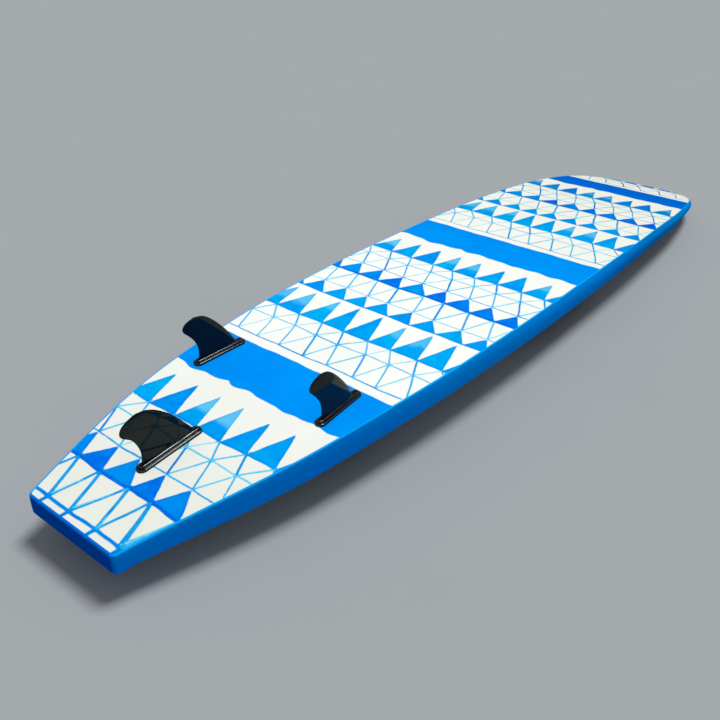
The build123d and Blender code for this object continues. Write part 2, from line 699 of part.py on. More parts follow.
def build_strap(s, y, turn):
    base = deck_plane(s, y, turn, STRAP_LIFT)
    rise = base.origin.Z / -base.z_dir.Z + FLOOR_REACH
    outer = [(-ARCH_HALF * copysign(abs(cos(t)) ** 0.9, cos(t)),
              STRAP_T + (rise - STRAP_T) * sin(t) ** 0.82)
             for t in np.linspace(0.12, pi - 0.12, 19)]
    inner = [(x * (ARCH_HALF - STRAP_T) / ARCH_HALF, z - STRAP_T) for x, z in outer]
    with BuildPart() as strap:
        with BuildSketch(Plane(origin=base.origin, x_dir=base.x_dir, z_dir=-base.y_dir)):
            with BuildLine():
                Spline((-ARCH_HALF - 8, STRAP_T), (-ARCH_HALF - 3, STRAP_T + 0.7),
                       *outer[1:-1],
                       (ARCH_HALF + 3, STRAP_T + 0.7), (ARCH_HALF + 8, STRAP_T))
                Polyline((ARCH_HALF + 8, STRAP_T), (TAB_END, STRAP_T),
                         (TAB_END, 0), (ARCH_HALF - 4, 0))
                Spline((ARCH_HALF - 4, 0), (ARCH_HALF - 7.5, 3.5),
                       *inner[2:-2][::-1],
                       (-ARCH_HALF + 7.5, 3.5), (-ARCH_HALF + 4, 0))
                Polyline((-ARCH_HALF + 4, 0), (-TAB_END, 0),
                         (-TAB_END, STRAP_T), (-ARCH_HALF - 8, STRAP_T))
            make_face()
        extrude(amount=STRAP_W / 2, both=True)
        # ends drawn in to rounded tabs
        with BuildSketch(base.offset(-1)):
            SlotOverall(2 * TAB_END, STRAP_W)
        extrude(amount=120, mode=Mode.INTERSECT)
        # lies flat on the floor where the board's weight presses it
        with BuildSketch(Plane.XY):
            Rectangle(3000, 600)
        extrude(amount=-40, mode=Mode.SUBTRACT)
        for x in (-FOOT_AT, FOOT_AT):
            with BuildSketch(base.offset(-1)):
                with Locations((x, 0)):
                    Circle(STRAP_HOLE_R)
            extrude(amount=12, mode=Mode.SUBTRACT)
    return strap.part


for name, place in STRAPS.items():
    pieces[f"footstrap_{name}"] = build_strap(*place)

# ------------------------------------- strap plates, washers, screws, inserts
PLATE_L, PLATE_W, PLATE_T = 28.0, 22.0, 2.4
WASHER_R, WASHER_T = 8.0, 1.4
SCREW_CLEAR_R = 3.2                            # hole in plates and washers
SCREW_HEAD_R, SCREW_HEAD_T = 5.6, 3.4
SCREW_DEPTH = 16.0                             # shank end below the deck surface
CROSS_L, CROSS_W, CROSS_DEPTH = 5.6, 1.2, 2.0
INSERT_SINK = 0.1
INSERT_BORE = 20.1

# heights above the deck surface, a small gap between each piece and the next
PLATE_AT = STRAP_LIFT + STRAP_T + 2 * GLUE
WASHER_AT = PLATE_AT + PLATE_T + GLUE
HEAD_AT = WASHER_AT + WASHER_T + GLUE

with BuildPart() as strap_plates:
    for plane in screw_planes:
        with BuildSketch(plane.offset(PLATE_AT)):
            SlotOverall(PLATE_L, PLATE_W)
            Circle(SCREW_CLEAR_R, mode=Mode.SUBTRACT)
        extrude(amount=PLATE_T)
pieces["strap_plates"] = strap_plates.part

with BuildPart() as strap_washers:
    for plane in screw_planes:
        with BuildSketch(plane.offset(WASHER_AT)):
            Circle(WASHER_R)
            Circle(SCREW_CLEAR_R, mode=Mode.SUBTRACT)
        extrude(amount=WASHER_T)
pieces["strap_washers"] = strap_washers.part

with BuildPart() as strap_screws:
    for plane in screw_planes:
        with BuildSketch(plane.offset(HEAD_AT)):
            Circle(BOLT_R)
        extrude(amount=-(HEAD_AT + SCREW_DEPTH))
        with BuildSketch(plane.offset(HEAD_AT)):
            Circle(SCREW_HEAD_R)
        extrude(amount=SCREW_HEAD_T)
        with BuildSketch(plane.offset(HEAD_AT + SCREW_HEAD_T)):
            Rectangle(CROSS_L, CROSS_W)
            Rectangle(CROSS_W, CROSS_L)
        extrude(amount=-CROSS_DEPTH, mode=Mode.SUBTRACT)
pieces["strap_screws"] = strap_screws.part

with BuildPart() as deck_inserts:
    for plane in insert_planes:
        with BuildSketch(plane.offset(-INSERT_SINK)):
            Circle(INSERT_R)
        extrude(amount=-INSERT_L)
        with BuildSketch(plane):
            Circle(M6_HOLE_R)
        extrude(amount=-INSERT_BORE, mode=Mode.SUBTRACT)
pieces["deck_inserts"] = deck_inserts.part


# --------------------------------------------------------- leash plug, vent
def flanged_plug(plane, body_r, flange_r, bores):
    """Plug let into the deck, with coaxial bores given as (radius, depth)."""
    with BuildPart() as plug:
        with BuildSketch(plane.offset(-DECK_PLUG_SINK)):
            Circle(body_r)
        extrude(amount=-DECK_PLUG_L)
        with BuildSketch(plane.offset(-DECK_PLUG_SINK)):
            Circle(flange_r)
        extrude(amount=-DECK_PLUG_FLANGE_T)
        for radius, depth in bores:
            with BuildSketch(plane):
                Circle(radius)
            extrude(amount=-depth, mode=Mode.SUBTRACT)
    return plug.part


BAR_R = 2.5
BAR_HALF_L = 14.8
BAR_DEPTH = 4.5            # bar's axis below the deck surface
CORD_R = 1.6
LOOP_R = 8.0               # to the middle of the cord
bar_plane = Plane(origin=leash_plane.origin - leash_plane.z_dir * BAR_DEPTH,
                  x_dir=leash_plane.y_dir, z_dir=leash_plane.x_dir)

with BuildPart() as leash_plug:
    add(flanged_plug(leash_plane, LEASH_BODY_R, LEASH_FLANGE_R, [(13.0, 14.0)]))
    with BuildSketch(bar_plane):
        Circle(BAR_R + 0.02)
    extrude(amount=BAR_HALF_L + 0.2, both=True, mode=Mode.SUBTRACT)
pieces["leash_plug"] = leash_plug.part

with BuildPart() as leash_bar:
    with BuildSketch(bar_plane):
        Circle(BAR_R)
    extrude(amount=BAR_HALF_L, both=True)
pieces["leash_bar"] = leash_bar.part

# ring of cord round the bar, clear of it by 0.06
loop_centre = bar_plane.origin + leash_plane.z_dir * (LOOP_R - BAR_R - CORD_R - 0.06)
with BuildPart() as leash_loop:
    with BuildSketch(Plane(origin=loop_centre + bar_plane.x_dir * LOOP_R,
                           x_dir=bar_plane.x_dir, z_dir=bar_plane.y_dir)):
        Circle(CORD_R)
    revolve(axis=Axis(loop_centre, bar_plane.z_dir), revolution_arc=360)
pieces["leash_loop"] = leash_loop.part

pieces["vent_plug"] = flanged_plug(vent_plane, VENT_BODY_R, VENT_FLANGE_R,
                                   [(6.3, 4.0), (3.05, 14.0)])

VENT_HEAD_SINK, VENT_HEAD_R, VENT_HEAD_T = 0.4, 5.9, 2.0
VENT_SHANK_R, VENT_SHANK_L = 3.0, 11.0
SLOT_L, SLOT_W, SLOT_DEPTH = 8.4, 1.5, 1.2
with BuildPart() as vent_screw:
    with BuildSketch(vent_plane.offset(-VENT_HEAD_SINK)):
        Circle(VENT_HEAD_R)
    extrude(amount=-VENT_HEAD_T)
    with BuildSketch(vent_plane.offset(-VENT_HEAD_SINK - 0.2)):
        Circle(VENT_SHANK_R)
    extrude(amount=-VENT_SHANK_L)
    with BuildSketch(vent_plane.offset(-VENT_HEAD_SINK)):
        Rectangle(SLOT_L, SLOT_W)
    extrude(amount=-SLOT_DEPTH, mode=Mode.SUBTRACT)
pieces["vent_screw"] = vent_screw.part

# sealing ring under the vent screw's head
SEAL_R, SEAL_CORD_R, SEAL_DEPTH = 4.3, 0.74, 3.25
seal_origin = vent_plane.origin - vent_plane.z_dir * SEAL_DEPTH + vent_plane.x_dir * SEAL_R
with BuildPart() as vent_seal:
    with BuildSketch(Plane(origin=seal_origin, x_dir=vent_plane.x_dir, z_dir=vent_plane.y_dir)):
        Circle(SEAL_CORD_R)
    revolve(axis=Axis(vent_plane.origin, vent_plane.z_dir), revolution_arc=360)
pieces["vent_seal"] = vent_seal.part

# ------------------------------------------------------------------ export
os.makedirs("parts", exist_ok=True)
for name, part in pieces.items():
    part.label = name
    export_step(part, f"parts/{name}.step")
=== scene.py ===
"""A 2.17 m board with three fins and three footstraps, resting on the straps, bottom face up.

Stations run along the board from the tail (about 0) to the nose, towards +X.  Across is Y,
and the pieces called left lie at +Y.  Z is up and the floor is z = 0, so the deck faces
down and the fins point up.  Lengths are millimetres until new_mesh turns them into metres.
"""
import math

import bmesh
import bpy
import numpy as np
from mathutils import Matrix, Vector
from mathutils.geometry import delaunay_2d_cdt


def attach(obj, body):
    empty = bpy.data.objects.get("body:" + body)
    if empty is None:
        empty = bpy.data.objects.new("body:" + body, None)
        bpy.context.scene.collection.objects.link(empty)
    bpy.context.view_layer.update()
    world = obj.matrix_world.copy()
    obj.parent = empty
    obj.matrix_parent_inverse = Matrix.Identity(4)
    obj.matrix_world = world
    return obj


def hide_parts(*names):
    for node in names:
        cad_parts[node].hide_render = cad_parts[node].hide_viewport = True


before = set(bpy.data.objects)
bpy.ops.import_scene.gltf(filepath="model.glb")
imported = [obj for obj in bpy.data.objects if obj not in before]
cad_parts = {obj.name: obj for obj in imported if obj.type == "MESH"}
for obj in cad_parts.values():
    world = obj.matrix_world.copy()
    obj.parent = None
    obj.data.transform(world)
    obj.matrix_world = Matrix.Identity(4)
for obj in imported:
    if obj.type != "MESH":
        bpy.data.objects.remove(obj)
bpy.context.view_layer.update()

MM = 0.001
ORIGIN_STATION = 1090.25     # the station that lies at x = 0
BOTTOM_Z = 125.0             # height of the bottom at station 800, where the rocker is nil
LENGTH = 2174.5

# ---------------------------------------------------------------- board geometry
# (station, half width)
OUTLINE = np.array([
    (0, 102.1), (150, 147), (300, 184.1), (450, 206), (600, 222.3), (750, 231.5), (900, 237.6),
    (1050, 239.6), (1200, 240), (1350, 240), (1500, 237.5), (1650, 232), (1800, 223.3),
    (1909, 210), (1980, 199), (2052, 181), (2100, 158), (2137, 122), (2160, 80), (2172, 35),
    (LENGTH, 0)], float)
# (station, thickness)
THICKNESS = np.array([
    (-60, 36.5), (0, 39), (60, 43.5), (140, 48.5), (220, 52), (380, 55.5), (620, 57), (900, 59),
    (1180, 60), (1340, 57.5), (1620, 48.5), (1909, 41), (2080, 33), (2172, 27.5), (2260, 23)],
    float)
# (station, how far the side bulges out)
SWELL = np.array([(-60, 0.3), (0, 0.3), (200, 0.6), (600, 2.0), (1100, 4.6), (1500, 6.0),
                  (2260, 6.0)], float)

TAIL_JOINT = 24.0            # the tail block ends here
JOINT_GAP = 0.1              # between the edge pieces
NOSE_JOINT = 2072.0
TAIL_OUT = 6.2               # the end face stands this far past station 0
TAIL_CORNER = (-TAIL_OUT, 100.4)
TAIL_CORNER_R = 10.0
RIM_TAIL, RIM_NOSE = 4.4, 3.8    # width of edge foam left showing round the sheet
RIM_R = 2.4                  # radius of the edge between the bottom and the side
SHEET_T = 3.0
SHEET_GAP = 0.03             # between the sheet and the rim
REBATE = SHEET_T + 0.05      # depth of the step the sheet lies in


def spline(knots, values):
    """Not-a-knot cubic through the values, which may have columns, as a function."""
    knots = np.asarray(knots, float)
    n = len(knots)
    p = np.asarray(values, float).reshape(n, -1)
    h = np.diff(knots)
    system = np.zeros((n, n))
    target = np.zeros((n, p.shape[1]))
    for i in range(1, n - 1):
        system[i, i - 1] = h[i - 1]
        system[i, i] = 2 * (h[i - 1] + h[i])
        system[i, i + 1] = h[i]
        target[i] = 6 * ((p[i + 1] - p[i]) / h[i] - (p[i] - p[i - 1]) / h[i - 1])
    system[0, :3] = h[1], -(h[0] + h[1]), h[0]
    system[-1, -3:] = h[-1], -(h[-1] + h[-2]), h[-2]
    bend = np.linalg.solve(system, target)

    def evaluate(x, slope=False):
        x = np.atleast_1d(np.asarray(x, float))
        i = np.clip(np.searchsorted(knots, x) - 1, 0, n - 2)
        gap = h[i][:, None]
        a = (knots[i + 1] - x)[:, None]
        c = (x - knots[i])[:, None]
        if slope:
            return ((-bend[i] * a**2 + bend[i + 1] * c**2) / (2 * gap)
                    + (p[i + 1] - p[i]) / gap - (bend[i + 1] - bend[i]) * gap / 6)
        return ((bend[i] * a**3 + bend[i + 1] * c**3) / (6 * gap)
                + (p[i] / gap - bend[i] * gap / 6) * a
                + (p[i + 1] / gap - bend[i + 1] * gap / 6) * c)
    return evaluate


def path_lengths(points):
    """Distance along a polyline at each of its points."""
    return np.r_[0, np.cumsum(np.hypot(*np.diff(points, axis=0).T))]


both_sides = np.vstack([OUTLINE, (OUTLINE[:-1] * [1, -1])[::-1]])
outline_lengths = path_lengths(both_sides)
HALF_ARC = outline_lengths[len(OUTLINE) - 1]
plan_curve = spline(outline_lengths, both_sides)
thickness_curve = spline(*THICKNESS.T)


def thickness(station):
    return thickness_curve(station)[:, 0].reshape(np.shape(station))


def bottom_z(station):
    q = (np.asarray(station, float) - 800) / 1000
    return BOTTOM_Z - 100 * (0.283 * q**2 - 0.264 * q**3 + 0.299 * q**4)


def deck_z(station):
    return bottom_z(station) - thickness(station)


def outline(arc):
    """Station, across and outward normal at distances along the outline from the left tail."""
    p = plan_curve(arc)
    d = plan_curve(arc, slope=True)
    size = np.hypot(d[:, 0], d[:, 1])
    return p[:, 0], p[:, 1], -d[:, 1] / size, d[:, 0] / size


def arc_at(station):
    arcs = np.linspace(0, HALF_ARC, 6001)
    return float(np.interp(station, plan_curve(arcs)[:, 0], arcs))


def smoothstep(k):
    return k * k * (3 - 2 * k)


def unit_range(k):
    return min(1.0, max(0.0, k))


def quarter(count):
    return np.linspace(0, math.pi / 2, count)


# ------------------------------------------------------------------ mesh helpers
def new_mesh(name, verts, faces):
    me = bpy.data.meshes.new(name)
    verts = (np.asarray(verts, float) - [ORIGIN_STATION, 0, 0]) * MM
    me.from_pydata(verts.tolist(), [], [tuple(int(i) for i in f) for f in faces])
    me.validate()
    me.update()
    me.polygons.foreach_set("use_smooth", [True] * len(me.polygons))
    ob = bpy.data.objects.new(name, me)
    bpy.context.scene.collection.objects.link(ob)
    return ob


def fix_normals(ob, weld=None):
    """Weld (metres) if asked, drop loose vertices and turn the faces outwards."""
    bm = bmesh.new()
    bm.from_mesh(ob.data)
    if weld:
        bmesh.ops.remove_doubles(bm, verts=bm.verts, dist=weld)
    loose = [v for v in bm.verts if not v.link_faces]
    bmesh.ops.delete(bm, geom=loose, context="VERTS")
    bmesh.ops.recalc_face_normals(bm, faces=bm.faces)
    bm.to_mesh(ob.data)
    bm.free()


def add_attr(ob, name, values):
    attribute = ob.data.attributes.new(name, "FLOAT", "POINT")
    attribute.data.foreach_set("value", np.asarray(values, np.float32))


def auto_sharp(ob, degrees):
    me = ob.data
    me.polygons.foreach_set("use_smooth", [True] * len(me.polygons))
    me.set_sharp_from_angle(angle=math.radians(degrees))


def register(ob, node, body="board"):
    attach(ob, body)
    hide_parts(node)


def tube_faces(rings, size, first=0, closed=False):
    """Quads joining rings of equal size; closed also joins the last ring to the first."""
    faces = []
    for i in range(rings if closed else rings - 1):
        here, there = first + i * size, first + (i + 1) % rings * size
        for k in range(size):
            n = (k + 1) % size
            faces.append((here + k, here + n, there + n, there + k))
    return faces


def end_caps(rings, size):
    """Quads that close the first and last ring, pairing each point with its mirror point."""
    return [(o + k, o + k + 1, o + size - 2 - k, o + size - 1 - k)
            for o in (0, (rings - 1) * size) for k in range(size // 2 - 1)]


def round_caps(rings, size):
    return [tuple(range(size))[::-1], tuple(range((rings - 1) * size, rings * size))]


# ------------------------------------------------------------------ plan helpers
def segment_distance(x, y, start, end):
    (ax, ay), (bx, by) = start, end
    dx, dy = bx - ax, by - ay
    t = np.clip(((x - ax) * dx + (y - ay) * dy) / (dx * dx + dy * dy), 0, 1)
    return np.hypot(x - ax - t * dx, y - ay - t * dy)


def loop_distance(loop):
    loop = np.array(loop)

    def distance(x, y):
        nearest = np.full(len(x), 1e9)
        for a, b in zip(loop, np.roll(loop, -1, axis=0)):
            nearest = np.minimum(nearest, segment_distance(x, y, a, b))
        return nearest
    return distance


def inside_loop(points, loop):
    x, y = points[:, 0], points[:, 1]
    inside = np.zeros(len(points), bool)
    for (x0, y0), (x1, y1) in zip(loop, np.roll(loop, -1, axis=0)):
        if y0 != y1:
            inside ^= ((y0 > y) != (y1 > y)) & (x < (x1 - x0) * (y - y0) / (y1 - y0) + x0)
    return inside


def clear_of(points, holes, margin):
    """True for the points more than a margin outside every (x, y, radius) hole."""
    clear = np.ones(len(points), bool)
    for x, y, r in holes:
        clear &= np.hypot(points[:, 0] - x, points[:, 1] - y) > r + margin
    return clear


def lattice(start, stop, half_width, pitch):
    """Triangular lattice of plan points."""
    return np.array([(x, y + (pitch / 2 if i % 2 else 0))
                     for i, x in enumerate(np.arange(start, stop, pitch * 0.866))
                     for y in np.arange(-half_width, half_width, pitch)])


def circle(x, y, r, count):
    return [(x + r * math.cos(t), y + r * math.sin(t))
            for t in np.linspace(0, 2 * math.pi, count + 1)[:-1]]


def border_of(loop, holes):
    """Points of a loop and its round holes, and the edges along them."""
    points = [tuple(p) for p in loop]
    edges = [(i, (i + 1) % len(loop)) for i in range(len(loop))]
    for x, y, r in holes:
        n = max(24, int(r * 3.2))
        first = len(points)
        points += circle(x, y, r, n)
        edges += [(first + i, first + (i + 1) % n) for i in range(n)]
    return points, edges


def triangulate(points, edges, loop, holes, hole_slack, merge, least_area):
    """Triangles inside the loop and outside the holes: places, triangles, source points."""
    places, _, faces, sources = delaunay_2d_cdt(
        [Vector(p) for p in points], edges, [], 0, merge)[:4]
    places = np.array([tuple(v) for v in places])
    faces = np.array([f for f in faces if len(f) == 3])
    centres = places[faces].mean(1)
    faces = faces[inside_loop(centres, loop) & clear_of(centres, holes, -hole_slack)]
    a, b, c = (places[faces[:, i]] for i in range(3))
    area = (b - a)[:, 0] * (c - a)[:, 1] - (b - a)[:, 1] * (c - a)[:, 0]
    real = np.abs(area) > least_area
    faces, area = faces[real], area[real]
    faces[area < 0] = faces[area < 0][:, ::-1]
    return places, faces, sources


def draped(name, loop, holes, points, top, low, rings=(), attrs=None, sharp=40):
    """Closed sheet cut to a loop with holes, between two heights given over the plan."""
    loop = np.array(loop)
    rings = np.vstack(rings) if len(rings) else np.zeros((0, 2))
    nearest = np.full(len(points), 1e9)
    for x, y in np.vstack([loop, rings]):
        nearest = np.minimum(nearest, np.hypot(points[:, 0] - x, points[:, 1] - y))
    keep = inside_loop(points, loop) & (nearest > 0.9) & clear_of(points, holes, 0.8)
    border, edges = border_of(loop, holes)
    inner = [tuple(p) for p in rings] + [tuple(p) for p in points[keep]]
    places, tris, _ = triangulate(border + inner, edges, loop, holes,
                                  hole_slack=0.02, merge=1e-6, least_area=1e-7)
    used = np.unique(tris)
    renumber = -np.ones(len(places), int)
    renumber[used] = np.arange(len(used))
    places, tris = places[used], renumber[tris]
    n = len(places)
    sides = np.vstack([tris[:, [0, 1]], tris[:, [1, 2]], tris[:, [2, 0]]])
    _, which, count = np.unique(np.sort(sides, axis=1), axis=0,
                                return_inverse=True, return_counts=True)
    walls = sides[count[which.ravel()] == 1]
    faces = [tuple(f) for f in tris] + [(f[2] + n, f[1] + n, f[0] + n) for f in tris]
    faces += [(b, a, a + n, b + n) for a, b in walls]
    x, y = places.T
    ob = new_mesh(name, np.vstack([np.c_[places, top(x, y)], np.c_[places, low(x, y)]]), faces)
    for key, value in attrs.items():
        add_attr(ob, key, np.tile(value(x, y), 2))
    auto_sharp(ob, sharp)
    return ob


# -------------------------------------------------------------- material builder
def srgb(*channels):
    """Linear colour from 0-255 sRGB channels."""
    return tuple(c / 12.92 if c <= 0.04045 else ((c + 0.055) / 1.055) ** 2.4
                 for c in (v / 255 for v in channels))


class Mat:
    """A Principled material with short calls for the nodes that drive it."""

    def __init__(self, name, color=(0.8, 0.8, 0.8), rough=0.5, metal=0.0):
        self.data = bpy.data.materials.new(name)
        self.data.use_nodes = True
        self.tree = self.data.node_tree
        self.tree.nodes.clear()
        output = self.node("ShaderNodeOutputMaterial")
        shader = self.node("ShaderNodeBsdfPrincipled")
        self.link(shader.outputs[0], output.inputs[0])
        self.inputs = shader.inputs
        self.set("Base Color", (*color, 1))
        self.set("Roughness", rough)
        self.set("Metallic", metal)
        self.data.diffuse_color = (*color, 1)

    def node(self, kind, **settings):
        node = self.tree.nodes.new(kind)
        for key, value in settings.items():
            setattr(node, key, value)
        return node

    def link(self, source, target):
        self.tree.links.new(source, target)

    def feed(self, target, value):
        """Link a socket, or set a number or a colour."""
        if isinstance(value, (int, float)):
            target.default_value = value
        elif isinstance(value, tuple):
            target.default_value = (*value, 1)
        else:
            self.link(value, target)

    def set(self, name, value):
        self.inputs[name].default_value = value

    def color(self, socket):
        self.link(socket, self.inputs["Base Color"])

    def rough(self, socket):
        self.link(socket, self.inputs["Roughness"])

    def coord(self, scale=(1, 1, 1)):
        mapping = self.node("ShaderNodeMapping")
        mapping.inputs["Scale"].default_value = scale
        self.link(self.node("ShaderNodeTexCoord").outputs["Object"], mapping.inputs["Vector"])
        return mapping.outputs["Vector"]

    def texture(self, kind, vector, settings, inputs):
        node = self.node(kind, **settings)
        for key, value in inputs.items():
            node.inputs[key].default_value = value
        self.link(vector, node.inputs["Vector"])
        return node

    def noise(self, vector, scale, detail=3.0, rough=0.55, distortion=0.0):
        inputs = dict(Scale=scale, Detail=detail, Roughness=rough, Distortion=distortion)
        return self.texture("ShaderNodeTexNoise", vector, {}, inputs).outputs["Fac"]

    def wave(self, vector, direction, scale, **inputs):
        settings = dict(wave_type="BANDS", bands_direction=direction)
        node = self.texture("ShaderNodeTexWave", vector, settings, dict(Scale=scale, **inputs))
        return node.outputs["Fac"]

    def math(self, operation, *values):
        node = self.node("ShaderNodeMath", operation=operation)
        for target, value in zip(node.inputs, values):
            self.feed(target, value)
        return node.outputs[0]

    def add(self, a, b):
        return self.math("ADD", a, b)

    def times(self, a, b):
        return self.math("MULTIPLY", a, b)

    def swing(self, noise, gain):
        """Noise centred on zero and scaled."""
        return self.times(self.math("SUBTRACT", noise, 0.5), gain)

    def ramp(self, fac, stops):
        node = self.node("ShaderNodeValToRGB")
        elements = node.color_ramp.elements
        while len(elements) > 1:
            elements.remove(elements[-1])
        elements[0].position = stops[0][0]
        elements[0].color = (*stops[0][1], 1)
        for position, color in stops[1:]:
            elements.new(position).color = (*color, 1)
        self.link(fac, node.inputs["Fac"])
        return node.outputs["Color"]

    def blend(self, noise, color_0, color_1):
        """Ramp between two colours over the middle of a noise."""
        return self.ramp(noise, [(0.3, color_0), (0.7, color_1)])

    def remap(self, value, span, to=(0.0, 1.0), smooth=False):
        node = self.node("ShaderNodeMapRange")
        if smooth:
            node.interpolation_type = "SMOOTHSTEP"
        for key, number in zip(("From Min", "From Max", "To Min", "To Max"), (*span, *to)):
            node.inputs[key].default_value = number
        self.link(value, node.inputs["Value"])
        return node.outputs["Result"]

    def spread(self, noise, low=0.0, high=1.0):
        """The middle of a noise stretched from low to high."""
        return self.remap(noise, span=(0.3, 0.7), to=(low, high))

    def mix(self, fac, a, b, mode="MIX"):
        node = self.node("ShaderNodeMix", data_type="RGBA", blend_type=mode)
        for index, value in ((0, fac), (6, a), (7, b)):
            self.feed(node.inputs[index], value)
        return node.outputs[2]

    def tint(self, color, by):
        return self.mix(1.0, color, by, "MULTIPLY")

    def attr(self, name):
        node = self.node("ShaderNodeAttribute", attribute_type="GEOMETRY", attribute_name=name)
        return node.outputs["Fac"]

    def bump(self, height, strength, distance):
        node = self.node("ShaderNodeBump")
        node.inputs["Strength"].default_value = strength
        node.inputs["Distance"].default_value = distance
        self.link(height, node.inputs["Height"])
        self.link(node.outputs["Normal"], self.inputs["Normal"])


def assign(ob, mat):
    ob.data.materials.clear()
    ob.data.materials.append(mat.data)


# ----------------------------------------------------------------- printed sheet
# The print is a band-and-triangle design on a triangular grid that repeats along the board.
# Distances to its shapes are stored on the vertices; the material inks their edges.
PERIOD = 755.0               # length of one repeat
ROW0 = 90.0                  # station where a repeat starts
GRID_PITCH = 57.0            # across, between points of a row
PHASE_A = -12.0
PHASE_B = PHASE_A + GRID_PITCH / 2
REACH = 14                   # how far from a shape its distance is worked out
TAIL_LINE, TAIL_END = 10.0, -2.0   # stations of the line nearest the tail and of its stubs
# row: (across of its middle point, random shift of each point)
ROW_GRID = {
    "c_base": (PHASE_A, 4), "c_tip": (PHASE_B, 4), "knots_1": (PHASE_A, 4),
    "a_base": (PHASE_B - 9.0, 4), "a_tip": (PHASE_A - 10.0, 5), "border": (PHASE_B, 4),
    "knots_2": (PHASE_A, 4), "b_base": (PHASE_B, 4), "b_tip": (PHASE_A, 5),
    "d_base": (PHASE_A, 4), "d_tip": (PHASE_B, 6), "tail": (PHASE_B, 4)}
# station of each row, and of the band's two edges, within a repeat
ROW_AT = {
    "c_base": 0.0, "c_tip": 49.0, "knots_1": 110.0, "a_base": 150.5, "a_tip": 232.0,
    "band_start": 265.0, "band_end": 387.5, "border": 411.5, "knots_2": 484.0,
    "b_base": 528.0, "b_tip": 624.0, "d_base": 632.0, "d_tip": 679.0, "next": PERIOD}
# row, half width, ink
ROW_LINES = (("c_tip", 1.7, 0.66), ("knots_1", 1.9, 0.46), ("border", 1.7, 0.74),
             ("knots_2", 1.8, 0.52), ("d_tip", 1.4, 0.50))
# from row, to row, half width, ink
ZIGZAGS = (("c_tip", "knots_1", 1.9, 0.74), ("knots_1", "a_base", 1.9, 0.66),
           ("border", "knots_2", 1.9, 0.66), ("knots_2", "b_base", 1.9, 0.66),
           ("d_tip", "next", 2.2, 0.66))
TRIANGLE_TONES = {"c": 0.70, "a": 0.42, "b": 0.38, "d": 0.50}

rng = np.random.default_rng(7)
rows = {}
for row_name, (phase, jitter) in ROW_GRID.items():
    rows[row_name] = phase + GRID_PITCH * np.arange(-6, 7) + rng.uniform(-jitter, jitter, 13)
rows["next"] = rows["c_base"]
station_jitter = {key: rng.uniform(-2.2, 2.2, 16) for key in ROW_AT}


def nearest_two(row, y):
    return np.argsort(np.abs(row - y))[:2]


def layout():
    """Lines (start, end, half width, ink) and triangles (corner, corner, tip, tone, wash)."""
    draw = np.random.default_rng(11)
    inks = draw.uniform(0, 1, (10, 16))
    tones = dict(zip("abcd", draw.uniform(0, 1, (4, 16))))
    washes = dict(zip("abcd", draw.uniform(0, 1, (4, 16))))
    lines, triangles = [], []
    count = len(rows["c_base"])
    for repeat in range(-1, 3):
        start = ROW0 + PERIOD * repeat

        def point(row, i):
            return (start + ROW_AT[row] + station_jitter[row][i], rows[row][i])

        for row, half, ink in ROW_LINES:
            for i in range(count - 1):
                lines.append((point(row, i), point(row, i + 1), half * (0.85 + 0.3 * inks[5][i]),
                              ink + 0.16 * (inks[6][i] - 0.5)))
        for number, (row_a, row_b, half, ink) in enumerate(ZIGZAGS):
            for i in range(count):
                for j in nearest_two(rows[row_b], rows[row_a][i]):
                    rising = rows[row_b][j] > rows[row_a][i]
                    u = inks[number][(i + (0 if rising else 7)) % 16]
                    strength = ink * (0.80 + 0.42 * u) if rising else ink * (0.46 + 0.30 * u)
                    lines.append((point(row_a, i), point(row_b, j), half * (0.85 + 0.3 * u),
                                  strength))
        for key, mean_tone in TRIANGLE_TONES.items():
            tips = rows[key + "_tip"]
            for i in range(count - 1):
                p, q = point(key + "_base", i), point(key + "_base", i + 1)
                j = int(np.argmin(np.abs(tips - 0.5 * (p[1] + q[1]))))
                tone = mean_tone + 0.30 * (tones[key][i] - 0.5)
                wash = washes[key][i] if key in "ab" else 0.3 * washes[key][i]
                triangles.append((p, q, point(key + "_tip", j), tone, wash))
                if key == "c":
                    lines.append(((p[0] - 1.8, p[1]), (q[0] - 1.8, q[1]), 4.2, 1.0))
                else:
                    lines.append((p, q, 2.2, 0.84))
    triangles = [t for t in triangles if t[2][0] >= ROW0 - 3]
    lines = [q for q in lines if max(q[0][0], q[1][0]) > ROW0 - 3]

    # the tail end has its own line, zigzag and stubs
    tail = rows["tail"]
    ends = [(TAIL_LINE + 0.5 * shift, y) for shift, y in zip(station_jitter["border"], tail)]
    lines += [(a, b, 2.7, 0.84) for a, b in zip(ends, ends[1:])]
    for i, y in enumerate(tail):
        for j in nearest_two(rows["c_base"], y):
            y2 = rows["c_base"][j]
            if abs(y2) > 160 or y < -130:
                continue
            half, ink = (3.1, 0.74) if y2 > y else (2.7, 0.60 + 0.2 * inks[8][i])
            lines.append(((TAIL_LINE, y), (ROW0, y2), half, ink))
    lines += [((TAIL_END, y + 3), (TAIL_LINE, y), 3.6, 0.86) for y in tail]
    return lines, triangles


LINES, TRIANGLES = layout()


def waver(x, y):
    """Small wandering of the drawn lines, along and across the board."""
    u = 0.30 * np.sin(y / 9.07 + 1.2) + 0.7 * np.sin(y / 33.0 + x / 71.0)
    u = u + 0.2 * np.sin(y / 5.3 + x / 37.0)
    v = 0.5 * np.sin(x / 31.0 + y / 57.0 + 0.6) + 0.25 * np.sin(x / 9.7 + 2.0)
    return u, v


